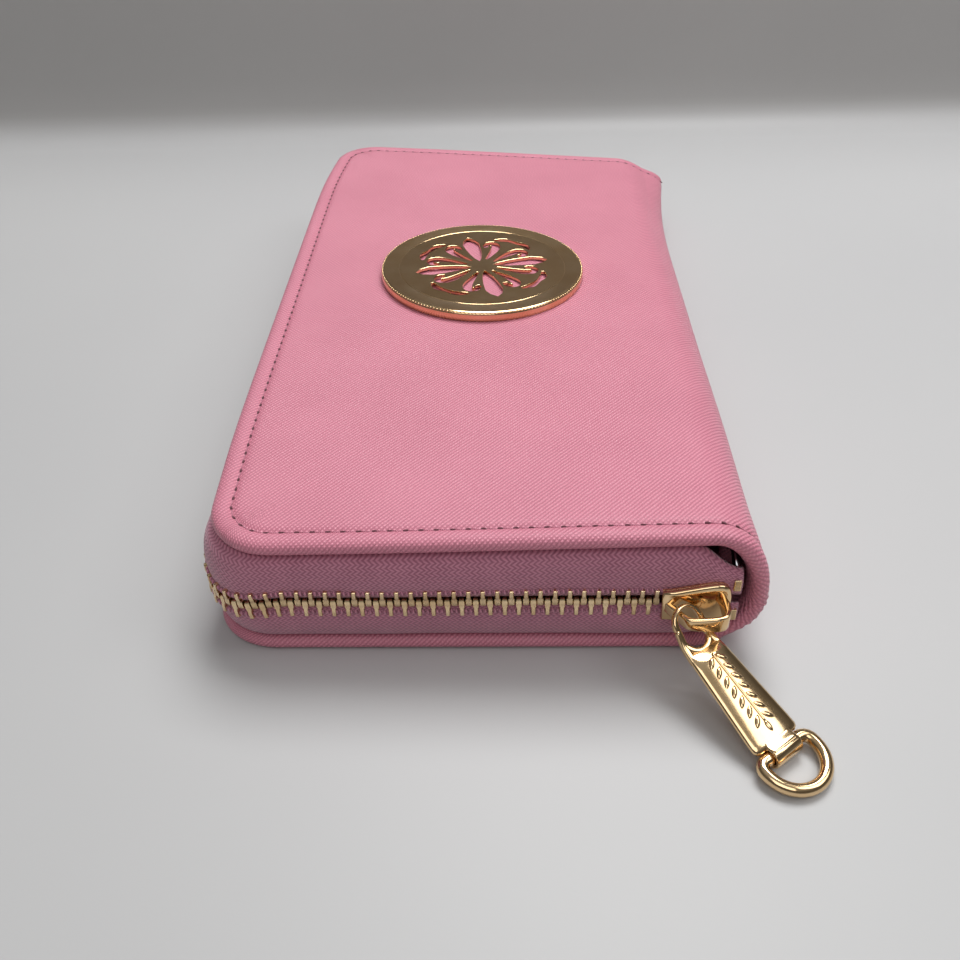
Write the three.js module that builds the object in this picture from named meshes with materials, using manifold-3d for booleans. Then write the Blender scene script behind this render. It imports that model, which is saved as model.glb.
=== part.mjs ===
// A long zip-around wallet, closed, lying flat on its lower cover.
//
// Millimetres. +Z is up, +X points to the spine, -Y to the side where the zip starts.
// The origin is the centre of the lower cover's flat outer face.
// The wallet opens like a book about the fold line at the outside of the spine.

import * as THREE from 'three';
import { mergeVertices } from 'three/addons/utils/BufferGeometryUtils.js';
import Module from 'manifold-3d';

const wasm = await Module();
wasm.setup();

const { clamp, degToRad, lerp } = THREE.MathUtils;

// ---- driving dimensions ----

const WIDTH = 105; // from the zip side to the outside of the spine
const LENGTH = 200;
const HEIGHT = 27; // at the zip side's front corner
const FOLD_Z = 14; // height of the zip's centre line and of the spine's fold line
const CORNER_R = 13; // the two cover corners on the zip side
const SPINE_R = 11; // how far the covers' curve reaches in from the spine
const SPINE_WALL = 1.2;
const COVER = 3.1; // skin, board and lining together
const SKIN = 1.0;
const GAP = 0.3; // left between pieces that touch

// How far the slumped upper cover stands above HEIGHT at its four corners.
const SLUMP = { zipFront: 0, zipBack: 2, spineFront: 2.8, spineBack: -5.5 };

const MEDALLION = { radius: 26.25, thick: 2, stand: 0.4, x: -1.7, y: 6.6 };

// The closed zip's chain, and the slider that runs on it.
// A tooth reaches past the centre line to its tip; valley and root are where its row begins.
const CHAIN = {
  half: 3.1,
  thick: 2.2,
  pitch: 5.3,
  tip: 0.6,
  valley: 1.8,
  root: 2.9,
  endFront: 32.4,
  endBack: 44,
};
const TAPE = { thick: 0.8, end: 47.4, full: 39.5, endShare: 0.55 };
const SLIDER_X = 39.2;

// The centre coin pocket, which fans out between the covers.
const POCKET = { left: -44, right: 42, half: 91.8, low: 11.8, high: 15.6, panel: 0.7 };
const COIN_ZIP = { x: -36, half: 84, opening: 5, z: 15.35, scale: 0.6, sliderY: 76 };

const halfWidth = WIDTH / 2;
const halfLength = LENGTH / 2;
const innerTop = HEIGHT - COVER;
const NEAR = 0.001; // points closer than this are taken as one

// ---- materials ----

function material(color, roughness, metalness) {
  return new THREE.MeshStandardMaterial({ color, roughness, metalness });
}

const leather = material(0xd98fa0, 0.5, 0);
const lining = material(0xc98898, 0.75, 0);
const board = material(0xb8ab98, 0.9, 0);
const tapeCloth = material(0xb8708c, 0.85, 0);
const toothMetal = material(0xc9ab74, 0.35, 1);
const polishedGold = material(0xe0b67a, 0.18, 1);
const darkMetal = material(0x8a8a8e, 0.22, 1);

// ---- the slumped shape ----

// How much a point of the level wallet is raised, by its place and its share of the upper half.
function slump(x, y, z) {
  const u = clamp(x / WIDTH + 0.5, 0, 1);
  const v = clamp(y / LENGTH + 0.5, 0, 1);
  const front = lerp(SLUMP.zipFront, SLUMP.spineFront, u);
  const back = lerp(SLUMP.zipBack, SLUMP.spineBack, u);
  const share = clamp((z - FOLD_Z) / (innerTop - FOLD_Z), 0, 1);
  return lerp(front, back, v) * share;
}

function settled(x, y, z) {
  return [x, y, z + slump(x, y, z)];
}

// ---- solids from rings of points ----

// Each ring runs along one side of a thin section and back along the other, point against point,
// so an open end closes with a strip between the two sides.
function loft(rings, closed = false) {
  const count = rings[0].length;
  const index = [];
  const quad = (a, b, c, d) => index.push(a, b, c, a, c, d);
  const spans = closed ? rings.length : rings.length - 1;
  for (let i = 0; i < spans; i++) {
    const here = i * count;
    const next = ((i + 1) % rings.length) * count;
    for (let j = 0; j < count; j++) {
      const k = (j + 1) % count;
      quad(here + j, here + k, next + k, next + j);
    }
  }
  if (!closed) {
    const last = (rings.length - 1) * count;
    for (let j = 0; j < count / 2 - 1; j++) {
      const across = count - 1 - j;
      quad(across, across - 1, j + 1, j);
      quad(last + j, last + j + 1, last + across - 1, last + across);
    }
  }
  const geometry = new THREE.BufferGeometry();
  geometry.setAttribute('position', new THREE.Float32BufferAttribute(rings.flat(2), 3));
  geometry.setIndex(index);
  return facingOut(geometry);
}

// Turns every face over if the solid is inside out.
function facingOut(geometry) {
  const index = geometry.getIndex().array;
  const point = (i) => new THREE.Vector3().fromBufferAttribute(geometry.getAttribute('position'), i);
  let volume = 0;
  for (let i = 0; i < index.length; i += 3) {
    volume += point(index[i]).dot(point(index[i + 1]).cross(point(index[i + 2])));
  }
  if (volume < 0) {
    geometry.setIndex(Array.from(index).reverse());
  }
  geometry.computeVertexNormals();
  return geometry;
}

function toSolid(geometry) {
  const bare = geometry.clone();
  bare.deleteAttribute('normal');
  bare.deleteAttribute('uv');
  const merged = mergeVertices(bare, NEAR / 10);
  return new wasm.Manifold(new wasm.Mesh({
    numProp: 3,
    vertProperties: new Float32Array(merged.getAttribute('position').array),
    triVerts: new Uint32Array(merged.getIndex().array),
  }));
}

function toGeometry(solid) {
  const mesh = solid.getMesh();
  const geometry = new THREE.BufferGeometry();
  geometry.setAttribute('position', new THREE.BufferAttribute(mesh.vertProperties, 3));
  geometry.setIndex(new THREE.BufferAttribute(mesh.triVerts, 1));
  geometry.computeVertexNormals();
  return geometry;
}

function cut(geometry, ...cutters) {
  return toGeometry(cutters.reduce((solid, cutter) => solid.subtract(toSolid(cutter)), toSolid(geometry)));
}

function join(...geometries) {
  return toGeometry(geometries.map(toSolid).reduce((solid, next) => solid.add(next)));
}

// An outline given as [x, y] points, with optional holes, extruded from low to high in z.
function prism(points, low, high, holes = []) {
  const shape = new THREE.Shape(points.map(([x, y]) => new THREE.Vector2(x, y)));
  for (const hole of holes) {
    shape.holes.push(new THREE.Path(hole.map(([x, y]) => new THREE.Vector2(x, y))));
  }
  const geometry = new THREE.ExtrudeGeometry(shape, { depth: high - low, bevelEnabled: false });
  return geometry.translate(0, 0, low);
}

// The same, with the outline in x and z and the thickness in y.
function prismXZ(points, low, high) {
  return prism(points, 0, high - low).rotateX(Math.PI / 2).translate(0, high, 0);
}

function box(x0, x1, y0, y1, z0, z1) {
  const geometry = new THREE.BoxGeometry(x1 - x0, y1 - y0, z1 - z0);
  return geometry.translate((x0 + x1) / 2, (y0 + y1) / 2, (z0 + z1) / 2);
}

// ---- covers, boards, linings ----

// Places along the wallet's length, with how far each is cut in by a rounded corner.
function stations(half, radius, rows, cornerSteps = 5) {
  const corner = [];
  for (let i = 0; i < cornerSteps && radius > 0; i++) {
    const turn = (i / cornerSteps) * Math.PI / 2;
    corner.push({ y: half - radius + radius * Math.cos(turn), cutIn: radius - radius * Math.sin(turn) });
  }
  const list = corner.map(({ y, cutIn }) => ({ y: -y, cutIn }));
  for (let i = 0; i <= rows; i++) {
    list.push({ y: lerp(-half + radius, half - radius, i / rows), cutIn: 0 });
  }
  return list.concat(corner.reverse());
}

// A sheet between two heights of the level wallet, which follows the slump.
function sheet({ left, right, half, radius = 0, low, high, columns = 4, rows = 6 }) {
  return loft(stations(half, radius, rows).map(({ y, cutIn }) => {
    const across = (c) => lerp(left + cutIn, right, c / columns);
    const under = [];
    const over = [];
    for (let c = 0; c <= columns; c++) {
      under.push(settled(across(c), y, low));
      over.unshift(settled(across(c), y, high));
    }
    return under.concat(over);
  }));
}

// The two halves of the wallet: a depth is measured inwards from the cover's outer face.
const lowerHalf = { height: FOLD_Z, place: (depth) => depth };
const upperHalf = { height: HEIGHT - FOLD_Z, place: (depth) => HEIGHT - depth };

function coverSheet(side, depth0, depth1, inset, right) {
  const heights = [side.place(depth0), side.place(depth1)];
  return sheet({
    left: -halfWidth + inset,
    right,
    half: halfLength - inset,
    radius: CORNER_R - inset,
    low: Math.min(...heights),
    high: Math.max(...heights),
    columns: 4,
    rows: 6,
  });
}

const coverRight = halfWidth - SPINE_R; // where the flat cover ends and the spine's curve begins
const recessInset = 2.4;
const recessRight = coverRight - 1;

// A cover's skin: a tray with a rolled rim on three sides that runs on into half of the spine.
function coverSkin(side) {
  const columns = 4;
  const spineSteps = 6;
  const rolledEdge = [[0, 1.2], [0.45, 0.35], [1.4, 0]];
  const reach = side.height - GAP / 2;
  const rings = stations(halfLength, CORNER_R, 6).map(({ y, cutIn }) => {
    const edge = -halfWidth + cutIn;
    const outside = rolledEdge.map(([dx, depth]) => [edge + dx, depth]);
    const inside = rolledEdge.map(([dx, depth]) => [edge + dx, COVER - depth]);
    for (let c = 1; c <= columns; c++) {
      const x = lerp(edge + rolledEdge[2][0], coverRight, c / columns);
      outside.push([x, 0]);
      inside.push([x, COVER]);
    }
    for (let k = 1; k <= spineSteps; k++) {
      const turn = (k / spineSteps) * Math.PI / 2;
      const sine = Math.sin(turn);
      const cosine = Math.cos(turn);
      outside.push([coverRight + SPINE_R * sine, Math.min(side.height * (1 - cosine), reach)]);
      const innerDepth = side.height - (side.height - COVER) * cosine;
      inside.push([coverRight + (SPINE_R - SPINE_WALL) * sine, Math.min(innerDepth, reach)]);
    }
    return outside.concat(inside.reverse()).map(([x, depth]) => settled(x, y, side.place(depth)));
  });
  return cut(loft(rings), coverSheet(side, SKIN, COVER + 1, recessInset, recessRight));
}

function coverBoard(side) {
  return coverSheet(side, SKIN + GAP, SKIN + GAP + 0.9, recessInset + 0.4, recessRight - 0.4);
}

function coverLining(side) {
  return coverSheet(side, COVER - 0.6, COVER, recessInset + 0.4, recessRight - 0.4);
}

// ---- card slots and slip pockets ----

const SHEET = 0.5;
const CARD = { left: -46, right: 40, half: 90, firstEdge: -31, step: 12, count: 4 };

function innerSheet(side, left, layer) {
  const depth = COVER + GAP + layer * (SHEET + GAP);
  const heights = [side.place(depth), side.place(depth + SHEET)];
  const low = Math.min(...heights);
  return sheet({ left, right: CARD.right, half: CARD.half, low, high: Math.max(...heights) });
}

function pocketPanel(side) {
  return innerSheet(side, CARD.left, 0);
}

function cardStrip(side, number) {
  return innerSheet(side, CARD.firstEdge + (number - 1) * CARD.step, number);
}

// ---- gussets ----

// A folded sheet at one end of the wallet, from the lower slots to the upper ones.
function gusset(end) {
  const folds = [[92.5, 7.4], [88.3, 9.3], [92.5, 11.2], [92.5, 16.2], [88.3, 18], [92.5, 19.6]];
  const thick = 0.4;
  const rings = [];
  for (let i = 0; i <= 5; i++) {
    const x = lerp(-43, 40, i / 5);
    const inner = folds.map(([y, z]) => settled(x, end * y, z));
    const outer = folds.map(([y, z]) => settled(x, end * (y + thick), z)).reverse();
    rings.push(inner.concat(outer));
  }
  return loft(rings);
}

// ---- the zip ----

const straight = WIDTH - CORNER_R;
const bend = CORNER_R * Math.PI / 2;
const zipSide = LENGTH - 2 * CORNER_R;

// A point on the zip's route, a distance along it from the front end of the spine,
// with the direction that points out of the wallet there.
function zipPoint(distance) {
  const turnX = -halfWidth + CORNER_R;
  const turnY = halfLength - CORNER_R;
  let rest = distance;
  if (rest < straight) {
    return { x: halfWidth - rest, y: -halfLength, outX: 0, outY: -1 };
  }
  rest -= straight;
  if (rest < bend) {
    const turn = rest / CORNER_R;
    const outX = -Math.sin(turn);
    const outY = -Math.cos(turn);
    return { x: turnX + CORNER_R * outX, y: -turnY + CORNER_R * outY, outX, outY };
  }
  rest -= bend;
  if (rest < zipSide) {
    return { x: -halfWidth, y: -turnY + rest, outX: -1, outY: 0 };
  }
  rest -= zipSide;
  if (rest < bend) {
    const turn = rest / CORNER_R;
    const outX = -Math.cos(turn);
    const outY = Math.sin(turn);
    return { x: turnX + CORNER_R * outX, y: turnY + CORNER_R * outY, outX, outY };
  }
  rest -= bend;
  return { x: turnX + rest, y: halfLength, outX: 0, outY: 1 };
}

const zipLength = 2 * straight + 2 * bend + zipSide;

function zipRing(distance, section) {
  const { x, y, outX, outY } = zipPoint(distance);
  return section.map(([out, z]) => settled(x + outX * out, y + outY * out, z));
}

// Even steps along each stretch of a tape in turn, from one end of the spine to the other.
function tapeSteps() {
  const start = halfWidth - TAPE.end;
  const narrowing = halfWidth - TAPE.full;
  const turns = [straight, straight + bend, straight + bend + zipSide, zipLength - straight];
  const marks = [start, narrowing, ...turns, zipLength - narrowing, zipLength - start];
  const counts = [1, 4, 6, 7, 6, 4, 1];
  const list = [start];
  counts.forEach((count, i) => {
    for (let k = 1; k <= count; k++) {
      list.push(lerp(marks[i], marks[i + 1], k / count));
    }
  });
  return list;
}

// A tape: a thin wall that leans out from under the cover's rim to the chain.
// Its last stretch narrows to clear the inside of the spine.
function zipTape(up) {
  const cover = up > 0 ? innerTop : COVER;
  const reach = Math.abs(cover - FOLD_Z) - GAP - 0.1;
  const edge = CHAIN.half + 0.1;
  const half = TAPE.thick / 2;
  return loft(tapeSteps().map((at) => {
    const narrowed = zipPoint(at).x > TAPE.full + 1 ? TAPE.endShare : 1;
    const middle = [[-2, 1], [-0.8, 0.68], [0, 0.3], [0, 0]].map(([out, share]) => (
      [out, FOLD_Z + up * lerp(edge, lerp(edge, reach, narrowed), share)]
    ));
    const outside = middle.map(([out, z]) => [out + half, z]);
    const inside = middle.map(([out, z]) => [out - half, z]).reverse();
    return zipRing(at, outside.concat(inside));
  }));
}

// One row of the closed chain: a corded edge with teeth that reach past the centre line.
function teethRow(up) {
  const start = halfWidth - CHAIN.endFront;
  const end = zipLength - (halfWidth - CHAIN.endBack);
  const count = 2 * Math.floor((end - start) / CHAIN.pitch);
  const half = CHAIN.thick / 2;
  const rings = [];
  for (let i = 0; i <= count; i++) {
    const isTooth = (i % 2 === 0) === (up > 0);
    const tip = FOLD_Z - up * (isTooth ? CHAIN.tip : -CHAIN.valley);
    const root = FOLD_Z + up * CHAIN.root;
    const section = [[half, root], [half, tip], [-half, tip], [-half, root]];
    rings.push(zipRing(lerp(start, end, i / count), section));
  }
  return loft(rings);
}

const STOP = { x: 45.7, long: 1.4, half: 1.1, throat: 0.7, past: 1.2, back: 1.4 };

// A small U-shaped stop clamped on the end of a tape, in front of the parked slider.
function topStop(up) {
  const { x, long, half, throat, past, back } = STOP;
  const edge = FOLD_Z + up * (CHAIN.half + 0.1);
  const [tip, top, floor] = [-past, back, -GAP].map((rise) => edge + up * rise);
  const outline = [[-half, tip], [half, tip], [half, top], [throat, top]]
    .concat([[throat, floor], [-throat, floor], [-throat, top], [-half, top]]);
  const points = up > 0 ? outline : outline.reverse();
  return prism(points, 0, long)
    .rotateX(Math.PI / 2)
    .rotateZ(Math.PI / 2)
    .translate(x, -halfLength, slump(x + long / 2, -halfLength, edge));
}

const BOTTOM_STOP = { long: 2.4, half: 1.1, high: 3.9, low: 0.3 };

// The box that closes the far end of the chain, at the back of the spine.
function bottomStop() {
  const { long, half, high, low } = BOTTOM_STOP;
  const x = CHAIN.endBack + GAP;
  const floor = FOLD_Z - CHAIN.half + low;
  return box(x, x + long, halfLength - half, halfLength + half, floor, floor + high);
}

// ---- sliders and pulls ----

// A slider about its own centre: +X is its nose, -Y its outer face, Z across the chain.
const SLIDER = { tail: -6.2, nose: 6.2, tailHalf: 3.9, noseHalf: 5, outer: 2.3, inner: 1.25, slit: 0.75 };

// The bridge's slanted leg rises from its foot on the outer plate; the pull's eye goes round it.
const legFoot = new THREE.Vector3(-4.4, -SLIDER.outer, 0);
const legAlong = new THREE.Vector3(0.6, -0.8, 0);
const BRIDGE = { half: 1.1, wide: 1, top: -6.9, under: -5.9, reach: 5.75 };
const legAt = legFoot.clone().addScaledVector(legAlong, 3.8);

// One edge of a slider's plate, from tail to nose, moved in by a wall's thickness.
function plateEdge(wall = 0) {
  const { tail, nose, tailHalf, noseHalf } = SLIDER;
  const edge = [[tail, tailHalf], [-3, tailHalf], [1.5, noseHalf], [nose - 1.6, noseHalf]];
  return edge.map(([x, z]) => [x, z - wall]);
}

function plateOutline() {
  const { nose, noseHalf } = SLIDER;
  const edge = [...plateEdge(), [nose, noseHalf - 1.8]];
  return edge.map(([x, z]) => [x, -z]).concat(edge.reverse());
}

// The room inside the flanges, open at the tail and at the nose.
function channelOutline() {
  const { tail, nose } = SLIDER;
  const edge = plateEdge(0.5);
  edge[0][0] = tail - 1;
  edge[edge.length - 1][0] = nose + 1;
  return edge.map(([x, z]) => [x, -z]).concat(edge.reverse());
}

// The bridge's outline: up the slanted leg, along over the plate and down to the nose.
function bridgeOutline() {
  const { nose, outer } = SLIDER;
  const { wide, top, under, reach } = BRIDGE;
  const onLeg = (aside, rise) => [legFoot.x + aside + legAlong.x * rise, legFoot.y + legAlong.y * rise];
  return [
    onLeg(-0.7, -0.5),
    onLeg(-0.7, reach),
    [nose - 1.9, top],
    [nose - 0.7, top + wide],
    [nose - 0.3, -outer],
    [nose - 0.3, -outer + 0.3],
    [nose - 1.5, -outer + 0.3],
    [nose - 1.7, under + 0.7],
    [nose - 2.4, under],
    onLeg(0.7, reach - 1.25),
    onLeg(0.7, -0.5),
  ];
}

function slider() {
  const { tail, nose, noseHalf, outer, inner, slit } = SLIDER;
  const plates = [prismXZ(plateOutline(), -outer, -inner), prismXZ(plateOutline(), inner, outer)];
  const skirt = (low, high) => cut(
    prismXZ(plateOutline(), low, high),
    prismXZ(channelOutline(), low - 1, high + 1),
  );
  const flanges = [skirt(-inner, -slit), skirt(slit, inner)];
  const wedge = [[1.8, 0], [3, -1.3], [nose - 0.8, -1.6], [nose - 0.8, 1.6], [3, 1.3]];
  const neck = prismXZ(wedge, -inner, inner);
  const bridge = prism(bridgeOutline(), -BRIDGE.half, BRIDGE.half);
  const halves = flanges.flatMap((flange) => [
    cut(flange, box(tail - 1, nose + 1, -3, 3, -noseHalf - 1, 0)),
    cut(flange, box(tail - 1, nose + 1, -3, 3, 0, noseHalf + 1)),
  ]);
  return join(...plates, ...halves, neck, bridge);
}

// The pull lies out and down from the bridge. Its own axes are its length, its width and its normal.
const PULL = { azimuth: -52.5, eyeDip: 47, bodyDip: 22.5, neck: 4, barAt: 27.2, thick: 1.2, halfWide: 5.3 };
const RING = { wire: 2.4, halfWide: 5.9, reach: 8.1 };

function pullAxes(dip) {
  const azimuth = degToRad(PULL.azimuth);
  const down = degToRad(dip);
  const flat = new THREE.Vector3(Math.cos(azimuth), Math.sin(azimuth), 0);
  const along = flat.clone().multiplyScalar(Math.cos(down)).setZ(-Math.sin(down));
  const across = new THREE.Vector3(-Math.sin(azimuth), Math.cos(azimuth), 0);
  return { along, across, normal: along.clone().cross(across) };
}

// A point of the pull, given along it, across it and out of its face; the neck is bent along one line.
function pullPoint(along, across, out) {
  const eye = pullAxes(PULL.eyeDip);
  const body = pullAxes(PULL.bodyDip);
  const neckAt = new THREE.Vector3(SLIDER_X, -halfLength, FOLD_Z)
    .add(legAt)
    .addScaledVector(eye.along, PULL.neck);
  const beyond = along - PULL.neck;
  const axes = beyond > 0 ? body : eye;
  const normal = axes.normal.clone();
  if (Math.abs(beyond) < NEAR) {
    normal.add(eye.normal).normalize().divideScalar(Math.cos(degToRad(PULL.eyeDip - PULL.bodyDip) / 2));
  }
  return neckAt.addScaledVector(axes.along, beyond)
    .addScaledVector(axes.across, across)
    .addScaledVector(normal, out);
}

// Bends a flat shape drawn with x along, y across and z out of the pull, and puts it on the slider.
function hangPull(geometry) {
  const room = 40;
  const eyeSide = cut(geometry, box(PULL.neck, room, -room, room, -room, room));
  const bodySide = cut(geometry, box(-room, PULL.neck, -room, room, -room, room));
  for (const side of [eyeSide, bodySide]) {
    const places = side.getAttribute('position');
    for (let i = 0; i < places.count; i++) {
      const point = pullPoint(places.getX(i), places.getY(i), places.getZ(i));
      places.setXYZ(i, point.x, point.y, point.z);
    }
  }
  return join(eyeSide, bodySide);
}

function arc(centreX, centreY, radius, from, to, steps) {
  const points = [];
  for (let i = 0; i <= steps; i++) {
    const turn = degToRad(lerp(from, to, i / steps));
    points.push([centreX + radius * Math.cos(turn), centreY + radius * Math.sin(turn)]);
  }
  return points;
}

// The tab's eye, its widening plate, and a tongue that is rolled round the ring's bar.
const EYE = { outer: 3.5, centre: 0.55, inner: 2.3, innerCentre: 0.1, holeEnd: 5.4 };
const TONGUE = { shoulder: 1.9, halfWide: 3.2, sleeve: 2.05, bore: 1.4 };

function pullTab() {
  const { neck, barAt, thick, halfWide } = PULL;
  const { shoulder, halfWide: tongueWide, sleeve, bore } = TONGUE;
  const shoulderAt = barAt - shoulder;
  const tongueEnd = barAt - 0.4;
  const outline = [
    [neck + 1.4, -3.9],
    ...arc(EYE.centre, 0, EYE.outer, 290, 70, 10),
    [neck + 1.4, 3.9],
    [shoulderAt - 0.4, halfWide],
    [shoulderAt, tongueWide],
    [tongueEnd, tongueWide],
    [tongueEnd, -tongueWide],
    [shoulderAt, -tongueWide],
    [shoulderAt - 0.4, -halfWide],
  ];
  const hole = [
    ...arc(EYE.innerCentre, 0, EYE.inner, 90, 270, 8),
    [EYE.holeEnd - 1.6, -EYE.inner],
    [EYE.holeEnd, -1.2],
    [EYE.holeEnd, 1.2],
    [EYE.holeEnd - 1.6, EYE.inner],
  ];
  const plate = prism(outline.reverse(), -thick / 2, thick / 2, [hole]);
  const roll = new THREE.CylinderGeometry(sleeve, sleeve, 2 * tongueWide, 16).translate(barAt, 0, 0);
  const throughHole = new THREE.CylinderGeometry(bore, bore, 20, 16).translate(barAt, 0, 0);
  return hangPull(cut(join(plate, roll), throughHole));
}

// A D-shaped wire ring in the x-y plane: a straight bar at x = 0 and a round bow out to x = reach.
function ringD({ wire, halfWide, reach }, sides = 8) {
  const route = [[0, -halfWide + 1.2], [0, 0], [0, halfWide - 1.2], [1.2, halfWide]];
  const bow = arc(reach - halfWide, 0, halfWide, 90, -90, 12);
  const points = [...route, ...bow, [1.2, -halfWide]];
  const places = points.map(([x, y]) => new THREE.Vector3(x, y, 0));
  const curve = new THREE.CatmullRomCurve3(places, true, 'centripetal');
  const steps = 32;
  const rings = [];
  for (let i = 0; i < steps; i++) {
    const centre = curve.getPointAt(i / steps);
    const tangent = curve.getTangentAt(i / steps);
    const outX = -tangent.y;
    const outY = tangent.x;
    rings.push(arc(0, 0, wire / 2, 0, 360 - 360 / sides, sides - 1).map(([out, up]) => (
      [centre.x + outX * out, centre.y + outY * out, up]
    )));
  }
  return loft(rings, true);
}

// The ring in the pull's rolled end, tipped until its bow rests on the ground.
function pullRing() {
  const bar = pullPoint(PULL.barAt, 0, 0);
  const restHeight = RING.wire / 2 + 0.02;
  const dip = Math.asin((bar.z - restHeight) / RING.reach);
  const axes = pullAxes(THREE.MathUtils.radToDeg(dip));
  const turn = new THREE.Matrix4().makeBasis(axes.along, axes.across, axes.normal).setPosition(bar);
  return ringD(RING).applyMatrix4(turn);
}

// ---- the wrist strap's ring, in the front end of the spine ----

const STRAP_RING = { wire: 1.7, halfWide: 4.6, reach: 7.7 };
const strapBar = new THREE.Vector3(47.2, -89, 15);

function strapRing() {
  return ringD(STRAP_RING)
    .rotateZ(-Math.PI / 2)
    .rotateY(Math.PI / 2)
    .translate(strapBar.x, strapBar.y, strapBar.z);
}

// A leather loop round the ring's bar, with its tail running back along the spine.
function strapTab() {
  const tail = prism([[-0.9, 0.5], [0.9, 0.5], [0.9, 16], [-0.9, 16]], -2.6, 2.6);
  const loop = new THREE.CylinderGeometry(1.9, 1.9, 5.2, 14).rotateX(Math.PI / 2);
  const bore = new THREE.CylinderGeometry(1.2, 1.2, 9, 14).rotateX(Math.PI / 2);
  return cut(join(tail, loop), bore).translate(strapBar.x, strapBar.y, strapBar.z);
}

// ---- the medallion ----

// A pierced disc: a rosette of eight leaves with small round holes between their tips.
function medallion() {
  const { radius, thick, stand, x, y } = MEDALLION;
  const petals = 8;
  const holes = [];
  for (let i = 0; i < petals; i++) {
    const turn = degToRad(360 * (i + 0.5) / petals);
    const leaf = [[4, 0], [7.5, 2.3], [11.5, 2.7], [15, 1.4], [17, 0], [15, -1.4], [11.5, -2.7], [7.5, -2.3]];
    const bead = arc(15.4, 0, 1.7, 0, 300, 5);
    const spin = (points, by) => points.map(([px, py]) => [
      px * Math.cos(by) - py * Math.sin(by),
      px * Math.sin(by) + py * Math.cos(by),
    ]);
    holes.push(spin(leaf, turn), spin(bead, turn + Math.PI / petals));
  }
  const rim = arc(0, 0, radius, 0, 352.5, 47);
  const disc = prism(rim, 0, thick, holes);
  const lift = HEIGHT + slump(x, y, HEIGHT);
  const stepX = (slump(x + 1, y, HEIGHT) - slump(x - 1, y, HEIGHT)) / 2;
  const stepY = (slump(x, y + 1, HEIGHT) - slump(x, y - 1, HEIGHT)) / 2;
  const normal = new THREE.Vector3(-stepX, -stepY, 1).normalize();
  const tilt = new THREE.Quaternion().setFromUnitVectors(new THREE.Vector3(0, 0, 1), normal);
  return disc.applyQuaternion(tilt).translate(x, y, lift + stand);
}

// ---- the coin pocket ----

function coinPanelLower() {
  const { left, right, half, low, panel } = POCKET;
  return sheet({ left, right, half, low, high: low + panel, columns: 3, rows: 5 });
}

function coinPanelUpper() {
  const { left, right, half, high, panel } = POCKET;
  const plain = sheet({ left, right, half, low: high - panel, high, columns: 3, rows: 5 });
  const { x, opening, half: zipHalf } = COIN_ZIP;
  return cut(plain, box(x - opening, x + opening, -zipHalf, zipHalf, high - 3, high + 3));
}

function coinTape(towards) {
  const { x, opening, half, scale, z } = COIN_ZIP;
  const near = x + towards * (CHAIN.half * scale + 0.1);
  const far = x + towards * (opening - GAP);
  return sheet({
    left: Math.min(near, far),
    right: Math.max(near, far),
    half: half - GAP,
    low: z - 0.22,
    high: z + 0.22,
    columns: 1,
    rows: 6,
  });
}

const coinSliderLift = 0.1;

function coinChain() {
  const { x, half, scale, z, sliderY } = COIN_ZIP;
  const start = -half + 2;
  const end = sliderY + SLIDER.tail * scale - GAP;
  const rings = [];
  const steps = 40;
  for (let i = 0; i <= steps; i++) {
    const wide = CHAIN.half * scale - (i % 2 ? 0.6 : 0.1);
    const thick = i % 2 ? 0.4 : 0.6;
    const y = lerp(start, end, i / steps);
    const corners = [[-wide, -thick], [wide, -thick], [wide, thick], [-wide, thick]];
    rings.push(corners.map(([dx, dz]) => settled(x + dx, y, z + dz)));
  }
  return loft(rings);
}

// The slider's own axes turned so that its nose points along +Y and its outer face up.
function placeCoinPart(geometry) {
  const { x, z, scale, sliderY } = COIN_ZIP;
  const axes = new THREE.Matrix4().makeBasis(
    new THREE.Vector3(0, 1, 0),
    new THREE.Vector3(0, 0, -1),
    new THREE.Vector3(-1, 0, 0),
  );
  return geometry.scale(scale, scale, scale).applyMatrix4(axes).translate(x, sliderY, z + coinSliderLift);
}

// Its pull lies flat over the plate: a round eye, then a tab that widens to its end.
const COIN_PULL = { eye: 4, hole: 2.5, long: 21, halfWide: 4.2, low: 3.2, high: 4.3, legAt: -3.3 };

// A flat pull whose eye goes round the bridge's tail leg, so it swivels over the pocket.
function coinPull() {
  const { eye, hole, long, halfWide, low, high, legAt: pivot } = COIN_PULL;
  const corner = halfWide - 1;
  const side = [[-5, 3.3], [2 - long, halfWide], [-long, corner]];
  const tab = side.map(([x, z]) => [x, -z]).concat(side.reverse());
  const outline = [...arc(0, 0, eye, 60, -60, 8), ...tab];
  const plate = prism(outline.reverse(), low, high, [arc(0, 0, hole, 0, 330, 11)]);
  return placeCoinPart(plate.rotateX(Math.PI / 2).translate(pivot, 0, 0));
}

// ---- the assembly ----

const wallet = new THREE.Group();

function add(name, geometry, finish) {
  const mesh = new THREE.Mesh(geometry, finish);
  mesh.name = name;
  wallet.add(mesh);
}

for (const [name, half] of [['lower', lowerHalf], ['upper', upperHalf]]) {
  add(`cover_skin_${name}`, coverSkin(half), leather);
  add(`cover_board_${name}`, coverBoard(half), board);
  add(`cover_lining_${name}`, coverLining(half), lining);
  add(`slip_pocket_${name}`, pocketPanel(half), lining);
  for (let i = 1; i <= CARD.count; i++) {
    add(`card_slot_${name}_${i}`, cardStrip(half, i), lining);
  }
  const up = name === 'upper' ? 1 : -1;
  add(`zip_tape_${name}`, zipTape(up), tapeCloth);
  add(`zip_teeth_${name}`, teethRow(up), toothMetal);
  add(`zip_top_stop_${name}`, topStop(up), toothMetal);
}
add('zip_bottom_stop', bottomStop(), toothMetal);
add('gusset_front', gusset(-1), lining);
add('gusset_back', gusset(1), lining);
add('zip_slider', slider().translate(SLIDER_X, -halfLength, FOLD_Z), polishedGold);
add('pull_tab', pullTab(), polishedGold);
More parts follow.
